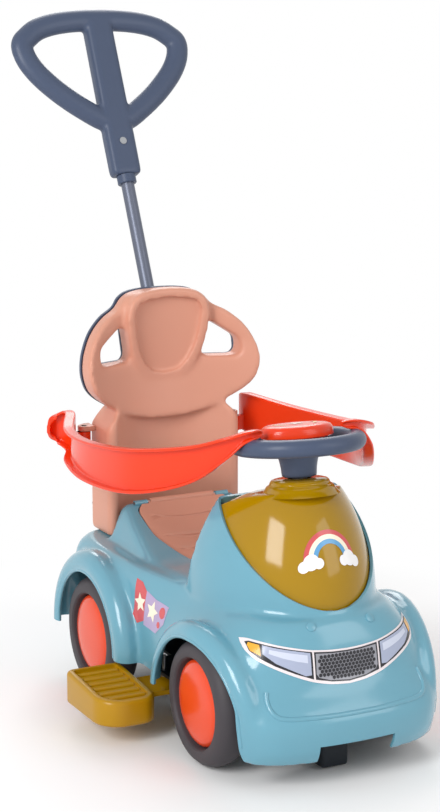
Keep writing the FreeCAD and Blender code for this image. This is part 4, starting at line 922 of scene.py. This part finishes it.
# %% Push grip
GRIP_PLACE = LEANING @ moved(0, 0, 178)
GRIP_RING = [(0, 227.4), (52, 224.5), (87, 216), (108, 202), (115.5, 193), (115.5, 181), (110, 165),
             (96.5, 145), (73, 121), (44, 98), (14, 80)]
GRIP_BAR = (15.5, 12.2)
# Each level of the spine is a height and a half width.
SPINE_LEVELS = ((0, 18), (1, 19.5), (3, 20.6), (6, 21.2), (60, 21.4), (72, 20.8), (120, 20.5), (232, 20))
SPINE_DEPTH, SPINE_ROUND = 12.4, 8
GRIP_COLLAR = [(9.1, -12), (12, -12), (13, -11), (13, -0.5), (9.1, -0.5), (9.1, -12)]


def grip_ring():
    """Oval bar bent to the grip's closed line."""
    whole = GRIP_RING + [(-x, t) for x, t in reversed(GRIP_RING[1:])]
    line = smooth_line([(x, 0, t) for x, t in whole], 8, closed=True)
    rings = []
    for i, here in enumerate(line):
        run = (line[(i + 1) % len(line)] - line[i - 1]).normalized()
        out = Vector((run.z, 0, -run.x))
        rings.append([here + out * GRIP_BAR[0] * math.cos(k) + Vector((0, GRIP_BAR[1] * math.sin(k), 0))
                      for k in round_angles(32)])
    return loft(rings, closed=True)


def grip_spine():
    """Round-edged bar from the socket to the top of the ring."""
    rings = []
    corners = ((-1, -1), (1, -1), (1, 1), (-1, 1))
    for t, half in SPINE_LEVELS:
        section = rounded([(a * half, b * SPINE_DEPTH, SPINE_ROUND) for a, b in corners])
        rings.append([(a, b, t) for a, b in section])
    return loft(rings)


grip = soften(joined("push_grip", [grip_ring(), grip_spine()]), 2.1, 8)
grip.data.transform(GRIP_PLACE)
dress(grip, SLATE, "push_handle", ["handle_grip"])
grip_collar = as_object("grip_collar", shifted(turned(GRIP_COLLAR, 48), GRIP_PLACE))
dress(grip_collar, SLATE, "push_handle", ["handle_collar"])

# %% [markdown]
# The safety arms are open channels that swing on pins at the backrest. One section, with its web inwards
# and two flanges outwards, is carried along the arm's plan curve while its edges rise and fall; at the rear
# the arm curls outwards. Both ends are drawn in, as moulded ends are. The right arm is the left one
# mirrored, with its faces turned back out.

# %% Safety arms
ARM_PLAN = [(157, 180), (149, 189), (136, 187), (126.5, 172), (129, 148), (154, 93), (165, 20), (160, -70),
            (140, -130), (113, -182), (92, -214), (74, -227), (54, -229)]
ARM_EDGES = [(318, 341), (314, 345), (309, 350), (305, 355), (302, 356), (302, 349), (298, 350), (302, 358),
             (313, 367), (334, 379), (362, 392), (386, 400), (390, 401.5)]
ARM_WEB = 4


def arm_section(low, high, from_end):
    """Channel between two edges, as (outwards, up); it closes up towards the arm's ends."""
    trim = 0.25 * (high - low) * max(0, 1 - from_end / 12) ** 2
    low, high = low + trim, high - trim
    lip = min(4, (high - low) / 4)
    reach = 4.5 + min(1, from_end / 16) * (4.5 + 5 * min(1, (high - low) / 30))
    return rounded([(0, low, 3 * lip / 4), (reach, low, lip * 0.45), (reach, low + lip, lip * 0.4),
                    (ARM_WEB, low + lip, lip * 0.4), (ARM_WEB, high - lip, lip * 0.4),
                    (reach, high - lip, lip * 0.4), (reach, high, lip * 0.45), (0, high, 3 * lip / 4)], 4)


def safety_arm(sign):
    """Channel with the barrel and neck that hold its pin."""
    plan = smooth_line([(x, y, 0) for x, y in ARM_PLAN], 10)
    edges = smooth_line(ARM_EDGES, 10)
    rings = []
    for i, here in enumerate(plan):
        run = (plan[min(i + 1, len(plan) - 1)] - plan[max(i - 1, 0)]).normalized()
        outward = Vector((-run.y, run.x, 0))
        from_end = min((plan[0] - here).length, (plan[-1] - here).length)
        section = arm_section(edges[i].x, edges[i].y, from_end)
        rings.append([here + outward * p[0] + Vector((0, 0, p[1])) for p in section])
    barrel = cylinder(9, 20, moved(111, 163, 316), 48)
    neck = box((111, 158, 306), (128, 168, 326))
    arm = taken(joined("arm", [loft(rings), barrel, neck]))
    return shifted(arm, Matrix.Diagonal((sign, 1, 1, 1)))


for side, sign in SIDES.items():
    rail = as_object(f"safety_arm_{side}_rail", safety_arm(sign))
    dress(rail, ORANGE, f"{side}_arm", [f"safety_arm_{side}"])

# %% [markdown]
# The footrests slide out from under the flanks. Each is a tread with a rim, ribs for grip and a flat tongue
# that runs in rails below the floor pan. The tread slopes up to the rear, so one formula for its height
# shapes the block, the pit inside the rim and the place of each rib. Bars are enough for the ribs, because
# only their tops show.

# %% Footrests
STEP_FRONT, STEP_REAR = -160, -10


def tread_height(y):
    return 57.7 + (y - STEP_FRONT) * 0.082


def footrest(sign):
    plan = rounded([(147, -144, 20), (222, -144, 34), (222, -24, 10), (147, -24, 6)], 10)
    tread = as_object("tread", prism(plan, 26, 90, on_floor))
    slope = [(STEP_FRONT, 0), (STEP_REAR, 0), (STEP_REAR, tread_height(STEP_REAR)),
             (STEP_FRONT, tread_height(STEP_FRONT))]
    carve(tread, prism(slope, 0, 300, sideways), "INTERSECT")
    bevelled(tread, 5, 5, 50)
    inset = rounded([(155, -136, 13), (214, -136, 26), (214, -32, 4), (155, -32, 4)], 8)
    pit = as_object("pit", prism(inset, 30, 90, on_floor))
    above = [(STEP_FRONT, tread_height(STEP_FRONT) - 4.5), (STEP_REAR, tread_height(STEP_REAR) - 4.5),
             (STEP_REAR, 90), (STEP_FRONT, 90)]
    carve(tread, taken(carve(pit, prism(above, 0, 300, sideways), "INTERSECT")))
    shapes = []
    for rib in range(6):
        y = -122 + rib * 16
        z = tread_height(y) - 4.3
        shapes.append(tube([(158, y, z), (205 if rib == 0 else 211, y, z)], 3, 16))
    shapes.append(box((45, -114, 48), (151, -54, 54)))
    whole = joined("footrest", shapes + [taken(tread)])
    whole.data.transform(Matrix.Diagonal((sign, 1, 1, 1)))
    if sign < 0:
        whole.data.flip_normals()
    return whole


for side, sign in SIDES.items():
    step = footrest(sign)
    step.name = f"footrest_{side}_tread"
    dress(step, STEP, f"{side}_step", [f"footrest_{side}"])

# %% [markdown]
# The prints on the car are thin stickers. They could be painted with an image, but an outline stays sharp
# at any distance and needs no picture. Each is a flat outline, cut into small cells, whose points are
# dropped straight on to the moulding and lifted by a fraction of a millimetre. Stickers that overlap have
# lifts of their own.

# %% Stickers
def sticker(name, outlines, place, drop, skin, lift, finish, body, cell=4):
    """Flat outlines, placed in space and dropped on a skin along a direction."""
    bm = bmesh.new()
    for outline in outlines:
        bm.faces.new([bm.verts.new((p[0] * MM, p[1] * MM, 0)) for p in outline])
    bmesh.ops.triangulate(bm, faces=bm.faces[:])
    for axis in (Vector((1, 0, 0)), Vector((0, 1, 0))):
        reach = [v.co.dot(axis) / MM for v in bm.verts]
        for step in range(math.ceil(min(reach) / cell), math.floor(max(reach) / cell) + 1):
            bmesh.ops.bisect_plane(bm, geom=bm.verts[:] + bm.edges[:] + bm.faces[:],
                                   plane_co=axis * step * cell * MM, plane_no=axis)
    lost = []
    for vert in bm.verts:
        start = Vector(place(vert.co.x / MM, vert.co.y / MM)) * MM
        spot, normal, _, _ = skin.ray_cast(start, Vector(drop).normalized())
        if spot is None:
            lost.append(vert)
            continue
        if normal.dot(Vector(drop)) > 0:
            normal = -normal
        vert.co = spot + normal * lift * MM
    bmesh.ops.delete(bm, geom=lost, context="VERTS")
    for face in bm.faces:
        if face.normal.dot(Vector(drop)) > 0:
            face.normal_flip()
    return dress(as_object(name, bm), finish, body, sharp=60)


def print_finish(name, colour):
    return plastic(name, colour, 0.25, coat=0.4, grain=0.0, drift=0.03)


def mirror_half(half):
    """Closed outline from its left half, listed from the top centre to the bottom centre."""
    return half + [(-a, b) for a, b in reversed(half) if a > 0]


def twice(outline):
    """An outline and its mirror image."""
    return [outline, [(-a, b) for a, b in reversed(outline)]]


body_skin, pad_skin, dome_skin = skin_of(body), skin_of(pad), skin_of(dome)
print("points in a mirrored outline", len(mirror_half([(0, 1), (1, 0), (0, -1)])))

# %% [markdown]
# The headlamps and the grille are one print across the nose: a pale border, dark ink inside it, and the
# lamps on top. The paler patch over the upper part of each lens is not print but a painted highlight. Real
# lamps would be lenses let into the shell, but on this toy they are flat, so they are stickers dropped from
# the front. Only the left half of each outline is typed in.

# %% Headlamps
BORDER = print_finish("print_border", (236, 226, 228))
INK = print_finish("print_ink", (34, 34, 40))
AMBER = print_finish("print_amber", (236, 170, 50))
LENS = print_finish("print_lens", (168, 176, 200))
GRILLE = print_finish("print_grille", (150, 150, 158))
# The glint is a painted highlight: a paler sticker over the upper part of each lens.
GLINT = print_finish("painted_lens_highlight", (206, 212, 230))
BAND_TOP = [(0, 157), (20, 157.6), (43, 159.5), (63, 163), (79, 166), (94, 168.8), (104, 170), (110, 169)]
BAND_LOW = [(111, 165), (110.5, 158), (104, 150), (89, 141.5), (68, 132), (47, 124), (24, 119), (0, 117)]
LENS_OUTLINE = [(46.4, 156.6), (62, 159.6), (78, 162.4), (95, 165.4), (97.2, 156.6), (86, 147), (68, 138),
                (54, 131.2), (46.8, 131.6)]
GLINT_OUTLINE = [(50, 154.4), (62, 156.6), (78, 159.4), (90, 161.6), (91.5, 157.4), (78, 152.6), (62, 148.2),
                 (50.4, 145.6)]
AMBER_OUTLINE = [(97.2, 165.4), (105, 166.4), (107, 163.6), (106.6, 158.6), (99.4, 154.6)]


def from_front(a, b):
    return (a, -600, b)


def on_nose(name, outlines, lift, finish):
    return sticker(name, outlines, from_front, (0, 1, 0), body_skin, lift, finish, "car_body")


band = [(p.x, p.y) for edge in (BAND_TOP, BAND_LOW) for p in smooth_line(edge, 3)]
on_nose("lamp_border", [mirror_half(band)], 0.3, BORDER)
inside = [(a, b - 2.2) for a, b in BAND_TOP[:-1]] + [(107.5, 166.5), (107.5, 158.5)]
inside += [(a - 2, b + 2.6) for a, b in BAND_LOW[2:-1]] + [(0, BAND_LOW[-1][1] + 2.6)]
on_nose("lamp_ink", [mirror_half(inside)], 0.5, INK)
on_nose("lamp_bars", twice([(42, 157.4), (44, 157.8), (44.6, 126.5), (42.4, 125.6)]), 0.65, BORDER)
grille_half = [(0, 153.2), (20, 153.7), (40, 155.2), (40.8, 132), (38, 127.6), (24, 123.4), (0, 121.2)]
on_nose("grille_plate", [mirror_half(grille_half)], 0.65, GRILLE)
on_nose("lamp_lens", twice(LENS_OUTLINE), 0.8, LENS)
# Painted highlight on the upper part of each lens.
on_nose("lamp_glint", twice(GLINT_OUTLINE), 0.95, GLINT)
on_nose("lamp_amber", twice(AMBER_OUTLINE), 0.8, AMBER)

# %% [markdown]
# The grille's mesh is printed as rows of dark six-sided cells on a grey plate. Every second row is shifted
# by half a cell. A loop lays them out and keeps those that lie wholly on the plate, which is simpler than
# trimming cells.

# %% Grille
CELL, CELL_PITCH, ROW_PITCH, FIRST_ROW = 2.4, 4.8, 4.1, 126


def on_plate(a, b):
    """Whether a cell's centre is far enough inside the plate."""
    return abs(a) < 38 and b - 2.6 > 121.2 + 0.0042 * a * a and b + 2.4 < 153.4 + 0.05 * abs(a)


def grille_cell(a, b):
    return [(a + CELL * math.sin(k * math.pi / 3), b + CELL * math.cos(k * math.pi / 3)) for k in range(6)]


centres = [(column * CELL_PITCH + (CELL_PITCH / 2 if row % 2 else 0), FIRST_ROW + row * ROW_PITCH)
           for row in range(7) for column in range(-8, 9)]
on_nose("grille_mesh", [grille_cell(a, b) for a, b in centres if on_plate(a, b)], 0.8, INK)

# %% [markdown]
# Each flank has a two-tone patch with stars and dots. The outlines are dropped from the side, in wider
# cells, because the flank is nearly flat. On the left side the order of the points is reversed, so that the
# stickers on both sides face outwards.

# %% Flank prints
RED = print_finish("print_red", (206, 84, 88))
LILAC = print_finish("print_lilac", (178, 160, 196))
CREAM = print_finish("print_cream", (248, 236, 214))
SKY = print_finish("print_sky", (96, 160, 206))
WHITE = print_finish("print_white", (246, 244, 244))


def star(a, b, size, turn=0.0):
    return [(a + size * (1 if k % 2 == 0 else 0.48) * math.sin(turn + k * math.pi / 5),
             b + size * (1 if k % 2 == 0 else 0.48) * math.cos(turn + k * math.pi / 5)) for k in range(10)]


def dot(a, b, size):
    return [(a + size * math.cos(k * math.pi / 12), b + size * math.sin(k * math.pi / 12)) for k in range(24)]


FLANK_PRINTS = (
    ("patch_red", [[(-36, 178), (-50, 176), (-66, 164), (-62, 130), (-44, 122), (-36, 132)]], 0.3, RED),
    ("patch_lilac", [[(-62, 168), (-84, 162), (-116, 160), (-112, 138), (-94, 122), (-60, 124)]], 0.35,
     LILAC),
    ("patch_stars", [star(-50, 150, 13, 0.2), star(-80, 146, 14, -0.2)], 0.6, CREAM),
    ("patch_dots", [dot(-104, 150, 7), dot(-99, 134, 4)], 0.6, RED))


def on_flank(side, name, outlines, lift, finish):
    sign = SIDES[side]

    def beside(a, b):
        return (sign * 400, a, b)

    facing_out = [outline if sign < 0 else list(reversed(outline)) for outline in outlines]
    return sticker(f"{name}_{side}", facing_out, beside, (-sign, 0, 0), body_skin, lift, finish, "car_body",
                   cell=6)


for side in SIDES:
    for flank_print in FLANK_PRINTS:
        on_flank(side, *flank_print)

# %% [markdown]
# The steering pad carries a star between two crescents. They are drawn flat, as seen along the column, and
# dropped down it, so the print turns and leans with the wheel. It rides on the steering body like the pad
# below it.

# %% Pad prints
CRESCENT = [(15, -13), (22, -9), (28, 0), (28, 9), (24, 15), (24.5, 8), (23, 1), (19, -7)]


def over_pad(a, b):
    """Point above the pad, on a plane across the column."""
    return STEER + COLUMN.to_3x3() @ Vector((a, b, 60))


def on_pad(name, outlines, finish):
    return sticker(name, outlines, over_pad, -AXIS, pad_skin, 0.4, finish, "steering")


on_pad("pad_star", [star(0, 2, 11)], CREAM)
on_pad("pad_swoosh", twice(CRESCENT), AMBER)

# %% [markdown]
# The bonnet's print is a rainbow between two clouds. It is drawn on a plane that faces the dome's slope and
# dropped square on to it, because a drop from straight ahead would stretch it. Each cloud is three dots
# with lifts of their own, so that they overlap cleanly.

# %% Bonnet print
SLOPE, STAND_OFF, BOW_MIDDLE = math.radians(38), 200, -2


def off_dome(a, b):
    """Point in front of the dome, on a plane that faces its slope."""
    return (a, -300 - STAND_OFF * math.cos(SLOPE) + b * math.sin(SLOPE),
            255 + STAND_OFF * math.sin(SLOPE) + b * math.cos(SLOPE))


def on_dome(name, outlines, lift, finish):
    down = (0, math.cos(SLOPE), -math.sin(SLOPE))
    return sticker(name, outlines, off_dome, down, dome_skin, lift, finish, "car_body")


def bow(inner, outer):
    """Half ring of a rainbow."""
    arc = [math.pi * k / 24 for k in range(25)]
    line = [(outer * math.cos(k), BOW_MIDDLE + outer * math.sin(k)) for k in arc]
    return line + [(inner * math.cos(k), BOW_MIDDLE + inner * math.sin(k)) for k in reversed(arc)]


for name, inner, outer, finish in (("bow_red", 28, 33.5, RED), ("bow_cream", 22.5, 28, CREAM),
                                   ("bow_sky", 17, 22.5, SKY)):
    on_dome(name, [bow(inner, outer)], 0.4, finish)
for index, (a, sizes) in enumerate(((-25, (6.5, 9, 6)), (25, (6, 9, 6.5)))):
    puffs = [dot(a - 8.5, -5, sizes[0]), dot(a, -2, sizes[1]), dot(a + 8.5, -5, sizes[2])]
    for level, puff in enumerate(puffs):
        on_dome(f"cloud_{index}_{level}", [puff], 0.7 + 0.15 * level, WHITE)

# %% [markdown]
# A dark foot block below the bumper keeps the car from tipping forward. It is a plain block on the real car
# too, so a box with a bevel is all it needs.

# %% Front foot
foot = bevelled(as_object("front_foot_block", box((-18, -318, 3), (18, -274, 68))), 4, 4, 50)
dress(foot, DARK, "car_body", ["front_foot"])

# %% [markdown]
# The studio floor is pale and runs out to plain white, so that the car stands on a soft shadow and nothing
# else. An evenly lit floor would need many lamps. Instead the floor fades to a white glow away from the
# car, and a Light Path node keeps that glow out of the light that falls on the car.

# %% Floor
def looking(nodes, links):
    """Socket that is 1 for what the camera sees, also in a reflection, and 0 for what lights the car."""
    path = nodes.new("ShaderNodeLightPath")
    seen = path.outputs["Is Camera Ray"]
    for ray in ("Is Glossy Ray", "Is Transmission Ray"):
        either = nodes.new("ShaderNodeMath")
        either.operation = "MAXIMUM"
        links.new(seen, either.inputs[0])
        links.new(path.outputs[ray], either.inputs[1])
        seen = either.outputs["Value"]
    return seen


def floor_paint():
    """Pale matt paint that brightens to plain white away from the car."""
    paint = bpy.data.materials.new("floor_white")
    paint.use_nodes = True
    nodes, links = paint.node_tree.nodes, paint.node_tree.links
    shader = nodes["Principled BSDF"]
    shader.inputs["Base Color"].default_value = (0.97, 0.97, 0.97, 1)
    shader.inputs["Roughness"].default_value = 0.9
    shader.inputs["Specular IOR Level"].default_value = 0.1
    place = nodes.new("ShaderNodeTexCoord")
    away = nodes.new("ShaderNodeVectorMath")
    away.operation = "LENGTH"
    links.new(place.outputs["Object"], away.inputs[0])
    fade = nodes.new("ShaderNodeMapRange")
    fade.interpolation_type = "SMOOTHSTEP"
    fade.inputs["From Min"].default_value = 0.36
    fade.inputs["From Max"].default_value = 0.68
    links.new(away.outputs["Value"], fade.inputs["Value"])
    glow = nodes.new("ShaderNodeEmission")
    seen = nodes.new("ShaderNodeMath")
    seen.operation = "MULTIPLY"
    links.new(fade.outputs["Result"], seen.inputs[0])
    links.new(looking(nodes, links), seen.inputs[1])
    both = nodes.new("ShaderNodeMixShader")
    links.new(seen.outputs["Value"], both.inputs["Fac"])
    links.new(shader.outputs["BSDF"], both.inputs[1])
    links.new(glow.outputs["Emission"], both.inputs[2])
    links.new(both.outputs["Shader"], nodes["Material Output"].inputs["Surface"])
    return paint


ground = bmesh.new()
bmesh.ops.create_grid(ground, x_segments=2, y_segments=2, size=30)
floor = as_object("floor", ground)
floor.data.materials.append(floor_paint())
print("floor", [round(side, 1) for side in floor.dimensions[:2]], "m")

# %% [markdown]
# Three broad area lights make the soft light of a catalogue picture: a key from the front, on the car's
# right, a weaker fill from the other side and a rim light from behind. A small lamp would give hard
# shadows. The white world is dimmer as a light than it looks to the camera, through the same Light Path
# node.

# %% Lights
def area_light(name, place, target, size, power):
    light = bpy.data.lights.new(name, "AREA")
    light.shape = "RECTANGLE"
    light.size = size
    light.size_y = size * 1.5
    light.energy = power
    lamp = bpy.data.objects.new(name, light)
    lamp.location = place
    lamp.rotation_euler = (Vector(target) - Vector(place)).to_track_quat("-Z", "Y").to_euler()
    bpy.context.scene.collection.objects.link(lamp)
    print(name, power, "W")


area_light("key", (-2.7, -1.4, 1.8), (0, -0.05, 0.25), 1.2, 74)
area_light("fill", (1.4, -2.6, 1.6), (0, 0, 0.3), 1.4, 22)
area_light("rim", (0.9, 2.0, 2.2), (0, 0, 0.5), 1.4, 34)
scene = bpy.context.scene
scene.view_settings.view_transform = "Standard"
world = bpy.data.worlds.new("studio")
scene.world = world
world.use_nodes = True
nodes, links = world.node_tree.nodes, world.node_tree.links
nodes["Background"].inputs["Color"].default_value = (1, 1, 1, 1)
strength = nodes.new("ShaderNodeMapRange")
strength.inputs["To Min"].default_value = 0.5
strength.inputs["To Max"].default_value = 1.0
links.new(looking(nodes, links), strength.inputs["Value"])
links.new(strength.outputs["Result"], nodes["Background"].inputs["Strength"])

# %% [markdown]
# The camera stands in front of the car, to its right and a little above it. It is placed by the point that
# it looks at, which is easier to change than three angles. The long lens keeps the near wheel from looking
# too large.

# %% Camera
CAMERA_PLACE, CAMERA_AIM = Vector((-1177.7, -2329.6, 924.2)) * MM, Vector((1.2, -15, 382.6)) * MM
eye = bpy.data.cameras.new("camera")
eye.lens = 92.47
eye.sensor_width = 36
camera = bpy.data.objects.new("camera", eye)
camera.location = CAMERA_PLACE
camera.rotation_euler = (CAMERA_AIM - CAMERA_PLACE).to_track_quat("-Z", "Y").to_euler()
scene.collection.objects.link(camera)
scene.camera = camera
print("camera", round((CAMERA_AIM - CAMERA_PLACE).length, 2), "m from what it looks at")
